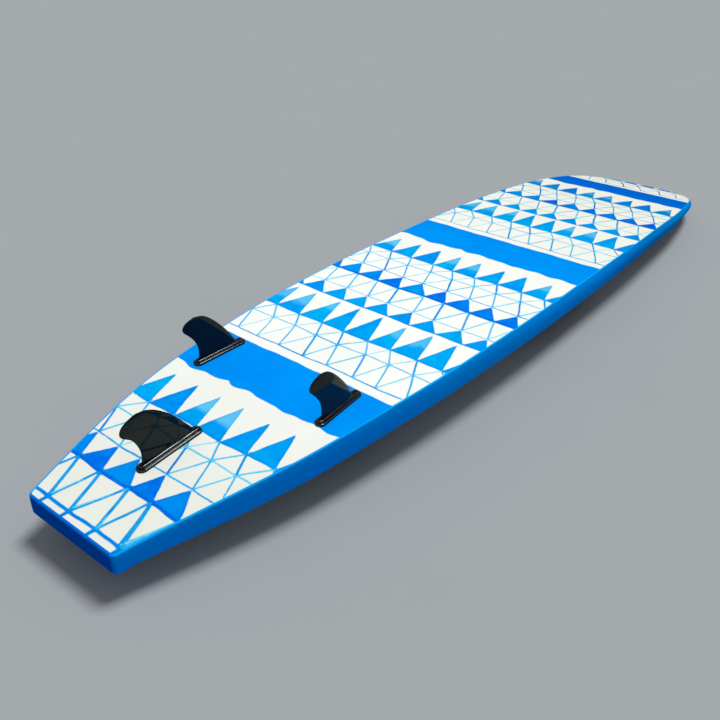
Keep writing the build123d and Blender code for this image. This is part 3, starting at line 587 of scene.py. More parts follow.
def triangle_distance(x, y, *corners):
    """Distance to a triangle's outline, negative inside."""
    corners = [np.array(c, float) for c in corners]
    (ux, uy), (vx, vy) = corners[1] - corners[0], corners[2] - corners[0]
    if ux * vy - uy * vx < 0:
        corners = corners[::-1]
    inside = np.full(x.shape, -1e9)
    distance = np.full(x.shape, 1e9)
    for a, b in zip(corners, corners[1:] + corners[:1]):
        e = b - a
        side = -(e[0] * (y - a[1]) - e[1] * (x - a[0])) / np.hypot(*e)
        inside = np.maximum(inside, side)
        distance = np.minimum(distance, segment_distance(x, y, a, b))
    return np.where(inside < 0, -distance, distance)


def band_distance(station, y):
    """Distance to the repeated wavy band across the board, negative inside."""
    band = np.full(len(y), 30.0)
    start_wave = (3.2 * np.sin(y / 31.0 + 0.7) + 2.4 * np.sin(y / 17.0 + 2.1)
                  + 1.8 * np.sin(y / 8.3) + 7.0 * np.exp(-((y + 60) / 16.0) ** 2)
                  + 4.5 * np.exp(-((y - 62) / 7.0) ** 2))
    end_wave = 0.9 * np.sin(y / 23.0) + 0.6 * np.sin(y / 9.0 + 1)
    for repeat in range(-1, 3):
        x = station - (ROW0 + PERIOD * repeat)
        band = np.minimum(band, np.maximum(ROW_AT["band_start"] + start_wave - x,
                                           x - ROW_AT["band_end"] - end_wave))
    return band


def paint(station, across):
    """Distances to the print's shapes (negative inside) and their inks, by attribute name."""
    u, v = waver(station, across)
    px, py = station + u, across + v
    order = np.argsort(px)
    sorted_x = px[order]
    line, tri = np.full((2, len(px)), 30.0)
    ink, tone, tip = np.zeros((3, len(px)))

    def nearby(corners):
        xs, ys = zip(*corners)
        low, high = np.searchsorted(sorted_x, (min(xs) - REACH, max(xs) + REACH))
        k = order[low:high]
        return k[(py[k] > min(ys) - REACH) & (py[k] < max(ys) + REACH)]

    for a, b, half, strength in LINES:
        k = nearby((a, b))
        d = segment_distance(px[k], py[k], a, b) - half
        closer = d < line[k]
        line[k[closer]] = d[closer]
        ink[k[closer]] = strength
    for p0, p1, p2, blue, wash in TRIANGLES:
        k = nearby((p0, p1, p2))
        d = triangle_distance(px[k], py[k], p0, p1, p2)
        closer = d < tri[k]
        k = k[closer]
        tri[k] = d[closer]
        tone[k] = blue
        # the wash pales towards the tips of some triangles
        f = (px[k] - p0[0]) / (p2[0] - p0[0])
        tip[k] = (np.clip(f - 0.52 + 0.30 * (wash - 0.45), -0.5, 0.5)
                  + (0.0 if wash > 0.45 else -1.0))
    return {"line": line, "ink": ink, "tri": tri, "tone": tone, "tip": tip,
            "band": band_distance(station, across)}


# Plan points (station, across) of each fin foot: aft end, forward end
FINS = {"centre": ((118.6, 0.0), (240.3, 0.0)), "left": ((359.4, 144.5), (471.1, 137.9)),
        "right": ((359.4, -144.5), (471.1, -137.9))}
# Distances of the bolts from the aft end
FIN_BOLTS = {"centre": (30.0, 92.0), "left": (28.0, 84.0), "right": (28.0, 84.0)}
BOSS_HOLE_R = 5.65


def fin_plane(key):
    """A fin's origin and axes: forward along its foot, to the left, away from the bottom."""
    aft, fore = (Vector((x, y, float(bottom_z(x)))) for x, y in FINS[key])
    along = (fore - aft).normalized()
    side = Vector((0, 0, 1)).cross(along).normalized()
    return aft, along, side, along.cross(side)


boss_holes = []
for key, bolts in FIN_BOLTS.items():
    origin, along, side, up = fin_plane(key)
    for bolt in bolts:
        p = origin + along * bolt - up * 1.0
        boss_holes.append((p.x, p.y, BOSS_HOLE_R))


def rim_width(station):
    return RIM_TAIL - (RIM_TAIL - RIM_NOSE) * smoothstep(unit_range((station - 24.0) / 260.0))


TAIL_ARC, NOSE_ARC = arc_at(TAIL_JOINT + JOINT_GAP), arc_at(NOSE_JOINT)
rail_arcs = np.r_[np.linspace(TAIL_ARC, NOSE_ARC - 260, 240),
                  np.linspace(NOSE_ARC - 260, NOSE_ARC, 70)[1:]]


def tail_path():
    """Plan path round the square end: (station, across, normal x, normal y, deck radius)."""
    joint = np.array([TAIL_JOINT, float(outline(np.array([TAIL_ARC]))[1][0])])
    corner = np.array(TAIL_CORNER)
    e = (corner - joint) / np.hypot(*(corner - joint))
    turn = math.acos(np.clip(np.dot(e, [0, -1]), -1, 1))
    bend = corner - e * TAIL_CORNER_R * math.tan(turn / 2)
    normal = np.array([e[1], -e[0]])
    centre = bend - normal * TAIL_CORNER_R
    path = []
    for k in np.linspace(0, 1, 9)[:-1]:
        p = joint + (bend - joint) * k
        v = np.array([0, 1.0]) * (1 - k) + normal * k
        v /= np.hypot(*v)
        path.append((*p, *v, 14.0 - 5.0 * smoothstep(k)))
    first = math.atan2(normal[1], normal[0])
    for t in np.linspace(0, 1, 17):
        a = first + (math.pi - first) * t
        c, s = math.cos(a), math.sin(a)
        path.append((centre[0] + TAIL_CORNER_R * c, centre[1] + TAIL_CORNER_R * s, c, s, 9.0))
    for y in np.linspace(path[-1][1], 0, 24)[1:]:
        path.append((-TAIL_OUT, y, -1.0, 0.0, 9.0))
    return path + [(s, -y, nx, -ny, r) for s, y, nx, ny, r in path[:-1][::-1]]


def rail_stations(arcs, sign=1):
    """(station, across, normal) along the outline; near the tail the normal turns to Y."""
    stations = []
    for arc in arcs:
        s, y, nx, ny = (float(v[0]) for v in outline(np.array([arc])))
        k = unit_range((s - 25.0) / 160.0)
        v = np.array([0, 1.0]) * (1 - k) + np.array([nx, ny]) * k
        nx, ny = v / np.hypot(*v)
        stations.append((s, y * sign, nx, ny * sign))
    return stations


def sheet_edge():
    """Left edge of the printed sheet, from the middle of the tail to the nose."""
    inset = RIM_TAIL + SHEET_GAP
    edge = [(s - nx * inset, y - ny * inset) for s, y, nx, ny, _ in tail_path()]
    edge = edge[:len(edge) // 2 + 1][::-1]
    for s, y, nx, ny in rail_stations(rail_arcs)[1:]:
        inset = rim_width(s) + SHEET_GAP
        edge.append((s - nx * inset, y - ny * inset))
    inset = RIM_NOSE + SHEET_GAP
    s, y, nx, ny = outline(np.linspace(NOSE_ARC, HALF_ARC, 91)[1:])
    edge += list(zip(s - nx * inset, y - ny * inset))
    edge[-1] = (LENGTH - RIM_NOSE - SHEET_GAP, 0.0)
    edge[0] = (edge[0][0], 0.0)
    return edge


def line_points():
    """Mesh points along and beside every drawn line."""
    points = []
    for a, b, half, _ in LINES:
        a, b = np.array(a, float), np.array(b, float)
        length = np.hypot(*(b - a))
        u = (b - a) / length
        beside = np.array([-u[1], u[0]]) * (half + 1.2)
        count = max(2, int(length / 3.4))
        for j in range(count):
            c = a + (b - a) * (j + 0.5) / count
            points += [c, c + beside, c - beside]
    points = np.array(points)
    points = points - np.c_[waver(points[:, 0], points[:, 1])]
    x, y = points.T
    return points[(x > -2) & (x < LENGTH) & (np.abs(y) < 245)]


def build_sheet():
    left = sheet_edge()
    loop = left + [(x, -y) for x, y in left[1:-1][::-1]]
    edge_distance = loop_distance(loop)
    loop, left = np.array(loop), np.array(left)
    border, edges = border_of(loop, boss_holes)

    # one point to a cell; points on lines win over lattice points
    points = np.vstack([line_points(), lattice(2.2, LENGTH, 260, pitch=5.0)])
    _, first = np.unique(np.floor(points / 1.7).astype(int), axis=0, return_index=True)
    points = points[np.sort(first)]
    x, y = points.T
    near = np.abs(y) > np.interp(x, left[:, 0], left[:, 1]) - 14
    near |= (x > LENGTH - 140) | (x < 30)
    keep = np.ones(len(points), bool)
    keep[near] = (edge_distance(x[near], y[near]) > 1.5) & inside_loop(points[near], loop)
    points = points[keep & clear_of(points, boss_holes, 1.35)]

    # the hidden face is coarser
    coarse = lattice(14.0, LENGTH - 14, 242, pitch=22.0)
    coarse = coarse[inside_loop(coarse, loop)]
    coarse = coarse[(edge_distance(*coarse.T) > 6) & clear_of(coarse, boss_holes, 3.35)]

    def fill(inner):
        places, tris, sources = triangulate(border + [tuple(p) for p in inner], edges, loop,
                                            boss_holes, hole_slack=0.05, merge=1e-7,
                                            least_area=1e-8)
        where = {j: i for i, source in enumerate(sources) for j in source if j < len(border)}
        return places, tris, where

    top, top_tris, top_at = fill(points)
    low, low_tris, low_at = fill(coarse)
    n = len(top)
    faces = [tuple(f) for f in top_tris] + [(f[2] + n, f[1] + n, f[0] + n) for f in low_tris]
    faces += [(top_at[b], top_at[a], low_at[a] + n, low_at[b] + n) for a, b in edges]
    verts = np.vstack([np.c_[top, bottom_z(top[:, 0])],
                       np.c_[low, bottom_z(low[:, 0]) - SHEET_T]])
    ob = new_mesh("printed_sheet", verts, faces)
    for key, values in paint(verts[:, 0], verts[:, 1]).items():
        add_attr(ob, key, values)
    add_attr(ob, "station", verts[:, 0])
    fix_normals(ob)
    auto_sharp(ob, 40)
    return ob


def ink_material():
    m = Mat("printed_sheet_ink", rough=0.5)
    vec = m.coord()
    # wandering of the inked edges, in mm
    ragged = m.add(m.swing(m.noise(vec, scale=55, detail=4, rough=0.6), gain=2.6),
                   m.swing(m.noise(vec, scale=260, detail=3, rough=0.6), gain=1.4))

    def inked(name, soft, gain=1.0):
        """1 inside the shape, 0 outside, over an edge of the given softness."""
        d = m.add(m.attr(name), m.times(ragged, gain))
        return m.remap(d, span=(-soft, soft), to=(1.0, 0.0), smooth=True)

    cloud = m.noise(vec, scale=9, detail=5, rough=0.62, distortion=0.4)
    mottle = m.noise(vec, scale=34, detail=5, rough=0.65, distortion=0.6)
    grain = m.noise(vec, scale=420, detail=2, rough=0.5)
    station = m.attr("station")

    paper = m.mix(m.spread(m.noise(vec, scale=5)), srgb(250, 251, 247), srgb(244, 247, 242))
    off_tail = m.remap(station, span=(0.0, 520.0), smooth=True)
    paper = m.mix(off_tail, m.tint(paper, srgb(241, 243, 238)), paper)

    line_blue = m.ramp(m.add(m.attr("ink"), m.swing(mottle, gain=0.45)), [
        (0.0, srgb(222, 246, 251)), (0.25, srgb(176, 232, 247)), (0.42, srgb(118, 213, 244)),
        (0.6, srgb(52, 184, 240)), (0.78, srgb(0, 150, 234)), (0.92, srgb(0, 128, 228)),
        (1.0, srgb(0, 106, 220))])
    tone = m.add(m.attr("tone"), m.swing(mottle, gain=0.75))
    tri_blue = m.ramp(m.add(tone, m.swing(cloud, gain=0.7)), [
        (0.0, srgb(0, 190, 246)), (0.25, srgb(0, 174, 244)), (0.45, srgb(0, 158, 243)),
        (0.62, srgb(0, 142, 240)), (0.8, srgb(0, 124, 238)), (1.0, srgb(0, 98, 228))])
    tip = m.add(m.attr("tip"), m.swing(mottle, gain=0.55))
    tip = m.times(m.remap(tip, span=(-0.11, 0.11), smooth=True), m.spread(cloud, 0.35, 0.85))
    tri_blue = m.mix(tip, tri_blue, srgb(110, 214, 246))
    band_blue = m.ramp(cloud, [(0.25, srgb(0, 140, 246)), (0.5, srgb(0, 147, 250)),
                               (0.75, srgb(0, 156, 254))])
    col = m.mix(inked("line", soft=0.8, gain=0.55), paper, line_blue)
    col = m.mix(inked("tri", soft=0.7), col, tri_blue)
    col = m.mix(inked("band", soft=0.9), col, band_blue)

    # the ink dries a little darker along the rim of each triangle
    dry = m.remap(m.math("ABSOLUTE", m.add(m.attr("tri"), 1.8)), span=(0.0, 2.4), to=(1.0, 0.0))
    col = m.mix(m.times(dry, 0.22), col, srgb(0, 110, 222))
    # painted shade towards the nose: the sheet's white greys off and its ink turns deeper
    painted_nose_shade = m.remap(station, span=(900.0, 2170.0))
    col = m.mix(painted_nose_shade, col, m.tint(col, srgb(233, 232, 221)))
    grey = m.node("ShaderNodeRGBToBW")
    m.link(col, grey.inputs[0])
    inky = m.math("SUBTRACT", 1.0, m.remap(grey.outputs[0], span=(0.25, 0.75)))
    painted_nose_ink_shade = m.times(m.remap(station, span=(1500.0, 1960.0), smooth=True), inky)
    m.color(m.mix(painted_nose_ink_shade, col, m.tint(col, srgb(255, 188, 232))))
    m.rough(m.spread(grain, 0.45, 0.55))
    m.set("Specular IOR Level", 0.0)
    m.bump(m.add(grain, m.times(m.noise(vec, scale=60), 2.0)), strength=0.10, distance=0.0003)
    return m


sheet = build_sheet()
register(sheet, "bottom_skin")
assign(sheet, ink_material())

# ------------------------------------------------------------- rails, nose, tail
BAND_IN = 16                 # the rails and nose reach this far in from the outline


def edge_section(station, lip, deck_radius, deck_points, facing=1.0):
    """Section round the edge, bottom to deck: (out, face, lift from the face, painted shade).

    lip holds the (out, lift) points before the rounded edge.  The shade value is painted light
    and shade: brightest on the lip and the rounded edge by the bottom face, darker down the side
    and on the deck.  facing is 1 where the edge faces across the board and 0 where it faces aft;
    it darkens the aft face with painted shade.
    """
    depth = thickness(station)
    bulge = np.interp(station, *SWELL.T)
    # painted light on the lip where the edge faces across the board, painted shade where it faces
    # aft
    lit = 1.25 * facing - 0.25
    dim = -0.5 * (1 - facing)
    section = [(out, bottom_z, lift, lit) for out, lift in lip]
    # painted highlight on the rounded edge by the bottom face, fading down it
    for t in quarter(9):
        shade = 1 - 0.6 * (t / (math.pi / 2)) ** 1.2
        section.append((-RIM_R + RIM_R * math.sin(t), bottom_z, -RIM_R + RIM_R * math.cos(t),
                        shade * lit if lit > 0 else lit))
    # painted shade down the side, lighter only near the bottom face
    for k in np.linspace(0, 1, 15)[1:-1]:
        section.append((bulge * math.sin(math.pi * k) ** 0.8, bottom_z,
                        -RIM_R - (depth - RIM_R - deck_radius) * k,
                        0.35 * (1 - k) ** 3 * facing + dim))
    for t in quarter(deck_points):
        section.append((-deck_radius + deck_radius * math.cos(t), deck_z,
                        deck_radius - deck_radius * math.sin(t), dim))
    return section


def place_section(section, s, y, nx, ny):
    return [(s + nx * out, y + ny * out, face(s + nx * out) + lift)
            for out, face, lift, _ in section]


def sweep(name, stations):
    """Solid edge piece along (station, across, normal) stations."""
    verts, shades = [], []
    for s, y, nx, ny in stations:
        rim = rim_width(s)
        lip = [(-BAND_IN, -REBATE), (-rim, -REBATE), (-rim, -0.3), (-rim + 0.22, -0.04),
               (-rim * 0.7 - RIM_R * 0.3, 0.0), (-rim * 0.3 - RIM_R * 0.7, 0.0)]
        section = edge_section(s, lip, min(14.0, thickness(s) * 0.42), deck_points=11)
        section.append((-BAND_IN, deck_z, 0.0, 0.0))
        verts += place_section(section, s, y, nx, ny)
        shades += [p[3] for p in section]
    n, size = len(stations), len(section)
    ob = new_mesh(name, verts, tube_faces(n, size) + round_caps(n, size))
    # the rim attribute holds painted light and shade for the foam's colour
    add_attr(ob, "rim", shades)
    fix_normals(ob)
    auto_sharp(ob, 38)
    return ob


def tail_block():
    """Square tail block with softened corners and a rebate for the sheet."""
    path = tail_path()
    lip = [(-RIM_TAIL, -REBATE), (-RIM_TAIL, -0.35), (-RIM_TAIL + 0.3, -0.05),
           (-RIM_TAIL * 0.35 - RIM_R * 0.65, 0.0)]
    verts, shades = [], []
    for s, y, nx, ny, deck_radius in path:
        # painted shade: facing darkens the end face, which faces aft
        section = edge_section(s, lip, deck_radius, deck_points=9, facing=abs(ny))
        verts += place_section(section, s, y, nx, ny)
        shades += [p[3] for p in section]
    n, size = len(path), len(section)
    faces = [(a, a + 1, a + 1 + size, a + size)
             for i in range(n - 1) for a in range(i * size, (i + 1) * size - 1)]
    # strips across the bottom and the deck, from each left point to its mirror point
    for i in range(n // 2):
        j = n - 1 - i
        for k in (0, size - 1):
            a, b, c, d = (row * size + k for row in (i, i + 1, j - 1, j))
            faces.append((a, b, c, d) if b != c else (a, b, d))
    last = (n - 1) * size
    faces += [(k, k + 1, last + k + 1, last + k) for k in range(size - 1)]
    ob = new_mesh("tail_block_shaped", verts, faces)
    # the rim attribute holds painted light and shade for the foam's colour
    add_attr(ob, "rim", shades)
    fix_normals(ob, weld=1e-6)
    auto_sharp(ob, 38)
    return ob


def foam_material():
    m = Mat("rail_foam_blue", rough=0.42)
    vec = m.coord()
    cloud = m.noise(vec, scale=14, detail=4)
    grain = m.noise(vec, scale=900, detail=2)
    # painted light and shade: the rim attribute lightens the foam where the edge faces up and
    # darkens the side, the deck and the aft face; the cloud adds a little random tone
    shade = m.add(m.remap(m.attr("rim"), span=(-0.5, 1.0)), m.swing(cloud, gain=0.05))
    blue = m.ramp(shade, [(0.0, srgb(0, 76, 184)), (0.32, srgb(0, 134, 251)),
                          (0.62, srgb(0, 146, 250)), (0.8, srgb(0, 156, 250)),
                          (1.0, srgb(6, 168, 250))])
    # a shade lighter amidships, and painted shade duller towards the nose; spans are x in metres
    split = m.node("ShaderNodeSeparateXYZ")
    m.link(vec, split.inputs[0])
    x = split.outputs[0]
    middle = m.times(m.remap(x, span=(-0.72, -0.45), smooth=True),
                     m.remap(x, span=(0.08, 0.30), to=(1.0, 0.0), smooth=True))
    blue = m.mix(m.times(middle, 0.9), blue, m.mix(1.0, blue, (0.0, 0.036, 0.0), "ADD"))
    # painted shade: the foam darkens towards the nose
    forward = m.remap(x, span=(0.08, 0.50), smooth=True)
    m.color(m.mix(forward, blue, m.tint(blue, (1.0, 0.88, 0.74))))
    m.rough(m.spread(grain, 0.36, 0.48))
    m.bump(m.add(grain, m.times(m.noise(vec, scale=120), 0.8)), strength=0.22, distance=0.0004)
    m.set("Specular IOR Level", 0.0)
    return m


rail_left = sweep("rail_band_left", rail_stations(rail_arcs))
rail_right = sweep("rail_band_right", rail_stations(rail_arcs, -1))
nose_stations = rail_stations(np.linspace(NOSE_ARC, 2 * HALF_ARC - NOSE_ARC, 181))
for end, gap in ((0, JOINT_GAP), (-1, -JOINT_GAP)):
    s, y, nx, ny = nose_stations[end]
    nose_stations[end] = (s + ny * gap, y - nx * gap, nx, ny)
nose = sweep("nose_band", nose_stations)
tail = tail_block()
edge_pieces = ((rail_left, "rail_left", "rail_foam"), (rail_right, "rail_right", "rail_foam"),
               (nose, "nose_block", "rail_foam"), (tail, "tail_block", "tail_foam"))
for ob, node, slot in edge_pieces:
    register(ob, node)
foam = foam_material()
for ob, _, _ in edge_pieces:
    assign(ob, foam)

# -------------------------------------------------------------------------- fins
# Blade edges: (height, trailing edge, leading edge), measured from the foot's aft end
BLADE_CENTRE = [
    (2.0, 8.5, 115.5), (14, 9.5, 108.2), (28, 11.6, 99.0), (42, 9.4, 89.8), (54, 5.0, 81.4),
    (62, -0.2, 75.4), (68, -7.0, 69.6), (73, -12.0, 64.8), (78, -14.5, 59.6), (84, -14.0, 52.8),
    (89, -10.6, 45.8), (93.5, -3.4, 38.0), (96.4, 4.6, 30.0), (97.6, 10.5, 23.0)]
BLADE_SIDE = [
    (2.0, 8.0, 100.0), (14, 10.0, 92.4), (28, 10.6, 84.0), (40, 8.0, 76.0), (50, 3.0, 68.6),
    (58, -2.6, 62.0), (65, -8.6, 56.0), (70, -13.4, 51.4), (75, -16.6, 46.4), (80, -17.0, 41.0),
    (85, -13.8, 34.6), (89, -7.8, 28.0), (91.4, -1.0, 20.6), (92.4, 4.0, 14.5)]
# Boss profile down a bolt hole: (radius, height)
BOSS = [(5.5, 4.0), (5.5, -15.4), (5.1, -16.0), (3.98, -16.0), (3.98, -3.0)]
BOSS_SIDES = 32
BASE_ROUND = 2.0             # radius of the base's two rounded edges
BASE_FILLET = 1.3
SHELF_EDGE = 2.6             # height where the lower rounded edge starts
SHELF_TOP = SHELF_EDGE + BASE_ROUND
CREST_EDGE = 6.4
CREST_TOP = CREST_EDGE + BASE_ROUND


def local_mesh(name, verts, faces, plane):
    """Solid given in a fin's own axes."""
    origin, *axes = plane
    verts = np.asarray(verts, float) @ np.array([list(a) for a in axes])
    ob = new_mesh(name, verts + np.array(list(origin)), faces)
    fix_normals(ob)
    return ob


def capsule(half, r, n=20):
    """Round-ended slot, long axis along x: 2 * (n + 1) points."""
    return [(end * half + r * math.cos(t), r * math.sin(t))
            for end, start in ((1, -math.pi / 2), (-1, math.pi / 2))
            for t in np.linspace(start, start + math.pi, n + 1)]


def fin_base(key, plane, width, end_radius, flange, edge):
    """Stepped oval base whose foot follows the bottom of the board."""
    origin, along, side, up = plane
    (x0, y0), (x1, y1) = FINS[key]
    chord = math.hypot(x1 - x0, y1 - y0)
    half = chord / 2 - end_radius
    radius = width / 2
    inmost = radius - 0.4
    ridge = radius - 6.0
    # (inset, height); no height stands for just above the board's bottom
    foot = [(inmost, None), (0.0, None), (0.0, 1.6)]
    shelf = [(BASE_ROUND - BASE_ROUND * math.cos(t), SHELF_EDGE + BASE_ROUND * math.sin(t))
             for t in quarter(7)]
    fillet = [(ridge - BASE_FILLET + BASE_FILLET * math.sin(t),
               SHELF_TOP + BASE_FILLET * (1 - math.cos(t))) for t in quarter(6)[:-1]]
    fillet.append((ridge, 6.0))
    crest = [(ridge + BASE_ROUND - BASE_ROUND * math.cos(t),
              CREST_EDGE + BASE_ROUND * math.sin(t)) for t in quarter(7)]
    profile = foot + shelf + fillet + crest + [(inmost, CREST_TOP)]
    verts = []
    for inset, height in profile:
        ring = capsule(half, radius - inset)
        for x, y in ring:
            x = x + chord / 2
            z = height
            if height is None:
                p = origin + along * x + side * y
                z = (float(bottom_z(p.x)) - p.z) / up.z + 0.06
            verts.append((x, y, z))
    n, size = len(profile), len(ring)
    base = local_mesh("fin_base_" + key, verts, tube_faces(n, size) + end_caps(n, size), plane)
    assign(base, flange)
    base.data.materials.append(edge.data)
    for first, part in ((len(foot), shelf), (len(foot + shelf + fillet), crest)):
        for i in range(first * size, (first + len(part) - 1) * size):
            base.data.polygons[i].material_index = 1
    return base


def fin_blade(key, plane, table, root, camber):
    """Foil of the given root thickness; camber fattens its left face and thins its right."""
    table = np.array(table)
    top = table[-1, 0]
    travel = np.hypot(np.diff(table[:, 0]), np.diff(0.5 * (table[:, 1] - table[:, 2])) * 0.6)
    travel = np.r_[0, np.cumsum(travel)]
    levels = spline(travel, table)(np.linspace(0, travel[-1], 92))
    # rounded closing of the tip
    height, trail, lead = levels[-1]
    middle = 0.45 * trail + 0.55 * lead
    for k in (0.35, 0.65, 0.85, 0.96):
        w = math.sqrt(1 - k * k)
        levels = np.vstack([levels, [height + 0.9 * k, middle + (trail - middle) * w,
                                     middle + (lead - middle) * w]])
    # x runs from the trailing edge; the foil is thickest towards the leading edge
    xs = 0.5 - 0.5 * np.cos(np.linspace(0, math.pi, 19))
    back = 1 - xs
    foil = 5 * (0.2969 * np.sqrt(back) - 0.1260 * back - 0.3516 * back**2
                + 0.2843 * back**3 - 0.1015 * back**4) / 0.5001
    verts = []
    for height, trail, lead in levels:
        thick = (root * (1 - 0.62 * min(1, height / top))
                 * min(1.0, 0.35 + 0.65 * (lead - trail) / 40.0))
        # the root swells out into the base below
        g = unit_range((15.5 - height) / 7.5)
        flare = 1 - math.sqrt(max(0.0, 1 - g * g))
        trail = trail - 2.4 * flare * 0.8
        chord = lead + 2.4 * flare * 0.6 - trail
        profile = foil * 0.5 * (thick + 2.6 * flare)
        profile = profile + np.where(back > 0.5, 0.35 * (back - 0.5) * 2 * min(1, chord / 40), 0)
        ring = [(trail + chord * x, p * (1 + camber)) for x, p in zip(xs, profile)]
        ring += [(trail + chord * x, -p * (1 - camber)) for x, p in zip(xs, profile)][1:-1][::-1]
        ring[0] = (trail, 0.0)
        verts += [(x, y, height) for x, y in ring]
    n, size = len(levels), len(ring)
    faces = tube_faces(n, size)
    for o in (0, (n - 1) * size):
        for k in range(len(xs) - 1):
            corners = (k, k + 1, (size - k - 1) % size, (size - k) % size)
            faces.append(tuple(o + c for c in dict.fromkeys(corners)))
    return local_mesh("fin_blade_" + key, verts, faces, plane)


def fin_boss(plane, bolt):
    verts = [(*p, z) for r, z in BOSS for p in circle(bolt, 0.0, r, BOSS_SIDES)]
    n = len(BOSS)
    return local_mesh("boss", verts, tube_faces(n, BOSS_SIDES) + round_caps(n, BOSS_SIDES), plane)


def unite(target, others):
    for i, other in enumerate(others):
        union = target.modifiers.new(f"b{i}", "BOOLEAN")
        union.operation = "UNION"
        union.solver = "EXACT"
        union.material_mode = "TRANSFER"
        union.object = other
    graph = bpy.context.evaluated_depsgraph_get()
    graph.update()
    me = bpy.data.meshes.new_from_object(target.evaluated_get(graph))
    target.modifiers.clear()
    # weld the slivers a boolean leaves, so that the result is a closed shell
    sliver = 3e-6
    bm = bmesh.new()
    bm.from_mesh(me)
    bmesh.ops.remove_doubles(bm, verts=bm.verts, dist=sliver)
    bmesh.ops.dissolve_degenerate(bm, dist=sliver, edges=bm.edges)
    gaps = [e for e in bm.edges if e.is_boundary]
    if gaps:
        bmesh.ops.holes_fill(bm, edges=gaps, sides=8)
    bmesh.ops.triangulate(bm, faces=[f for f in bm.faces if len(f.verts) > 4])
    bmesh.ops.dissolve_degenerate(bm, dist=sliver, edges=bm.edges)
    bm.to_mesh(me)
    bm.free()
    target.data = me
    for other in others:
        bpy.data.objects.remove(other, do_unlink=True)


def gloss_black(name, rough, specular, tint):
    m = Mat(name, srgb(10, 11, 14), rough)
    cloud = m.noise(m.coord(), scale=40, detail=4)
    m.color(m.blend(cloud, srgb(7, 8, 11), srgb(13, 14, 18)))
    m.rough(m.remap(cloud, span=(0.3, 0.75), to=(rough, rough * 1.25)))
    m.set("Specular IOR Level", specular)
    m.set("Specular Tint", (*tint, 1))
    return m


blade_gloss = gloss_black("fin_blade_gloss", rough=0.06, specular=0.20, tint=(0.82, 1.0, 1.0))
flange_gloss = gloss_black("fin_flange_gloss", rough=0.10, specular=0.16, tint=(0.9, 1.0, 1.0))
edge_gloss = gloss_black("fin_rounded_edge_gloss", rough=0.15, specular=0.72,
                         tint=(0.95, 1.0, 1.0))


def build_fin(key, table, root, camber, width, end_radius):
    plane = fin_plane(key)
    fin = fin_base(key, plane, width, end_radius, flange_gloss, edge_gloss)
    blade = fin_blade(key, plane, table, root, camber)
    assign(blade, blade_gloss)
    tools = [blade]
    for bolt in FIN_BOLTS[key]:
        tools.append(fin_boss(plane, bolt))
        assign(tools[-1], flange_gloss)
    unite(fin, tools)
    fin.name = "fin_" + key + "_moulded"
    auto_sharp(fin, 32)
    return fin


def mirrored_fin(source):
    me = source.data.copy()
    me.transform(Matrix.Scale(-1, 4, Vector((0, 1, 0))))
    me.flip_normals()
    fin = bpy.data.objects.new("fin_right_moulded", me)
    bpy.context.scene.collection.objects.link(fin)
    auto_sharp(fin, 32)
    return fin


fins = {"centre": build_fin("centre", BLADE_CENTRE, root=8.0, camber=0.0, width=21.0,
                            end_radius=8.0),
        "left": build_fin("left", BLADE_SIDE, root=6.6, camber=0.25, width=20.0,
                          end_radius=7.5)}
fins["right"] = mirrored_fin(fins["left"])
for key, ob in fins.items():
    ob.visible_shadow = False
    register(ob, "fin_" + key, body="fin_%s_body" % key)

# ---------------------------------------------------------------- deck positions
SCREW_OUT = 88.0             # of a strap's screws, from its middle
SPARE_HOLE_STEP = 50.8       # from each screw forward to its spare hole
STRAPS = {                   # station, across, turn in degrees
    "rear": (452.0, 0.0, 0.0),
    "front_left": (1130.0, 108.0, 28.0),
    "front_right": (1130.0, -108.0, -28.0)}
LEASH_STATION = 74.0
VENT_STATION = 1560.0


def deck_frame(station, y, turn=0.0, lift=0.0):
    """Origin on the deck and axes: across (turned in plan), along, and out of the deck."""
    slope = (deck_z(station + 1.0) - deck_z(station - 1.0)) / 2
    out = Vector((slope, 0, -1)).normalized()
    across = Matrix.Rotation(math.radians(turn), 3, out) @ Vector((0, 1, 0))
    origin = Vector((station, y, deck_z(station))) + out * lift
    return origin, across, out.cross(across), out


screw_at = []
for place in STRAPS.values():
    origin, across, _, _ = deck_frame(*place)
    for offset in (-SCREW_OUT, SCREW_OUT):
        p = origin + across * offset
        screw_at.append((p.x, p.y))
spare_at = [(x + SPARE_HOLE_STEP, y) for x, y in screw_at]

# where each fin bolt's axis meets the deck, found by stepping down it
plug_at = []
for key, bolts in FIN_BOLTS.items():
    origin, along, _, up = fin_plane(key)
    for bolt in bolts:
        depth = 30.0
        for _ in range(20):
            p = origin + along * bolt - up * depth
            depth += p.z - float(deck_z(p.x))
        p = origin + along * bolt - up * depth
        plug_at.append((p.x, p.y))

# ----------------------------------------------------------------- deck laminate
DECK_INSET = BAND_IN + 0.02
DECK_START = 24.15
DECK_T = 4.0


def deck_loop():
    arcs = np.r_[np.linspace(0, HALF_ARC - 330, 170),
                 np.linspace(HALF_ARC - 330, HALF_ARC, 70)[1:]]
    s, y, nx, ny = outline(arcs)
    s, y = s - nx * DECK_INSET, y - ny * DECK_INSET
    s[-1], y[-1] = LENGTH - DECK_INSET, 0.0
    kept = s > DECK_START + 2
    left = [(DECK_START, float(np.interp(DECK_START, s[:12], y[:12])))]
    left += list(zip(s[kept], y[kept]))
    return left + [(a, -b) for a, b in left[:-1][::-1]]


def build_deck():
    loop = deck_loop()
    holes = [(x, y, 6.1) for x, y in screw_at + spare_at] + [(x, y, 11.15) for x, y in plug_at]
    holes += [(LEASH_STATION, 0.0, 18.15), (VENT_STATION, 0.0, 13.15)]
    return draped("deck_laminate_sheet", loop, holes, lattice(28, 2165, 252, pitch=9.0),
                  lambda x, y: deck_z(x) + DECK_T, lambda x, y: deck_z(x),
                  attrs={"edge": loop_distance(loop), "station": lambda x, y: x})


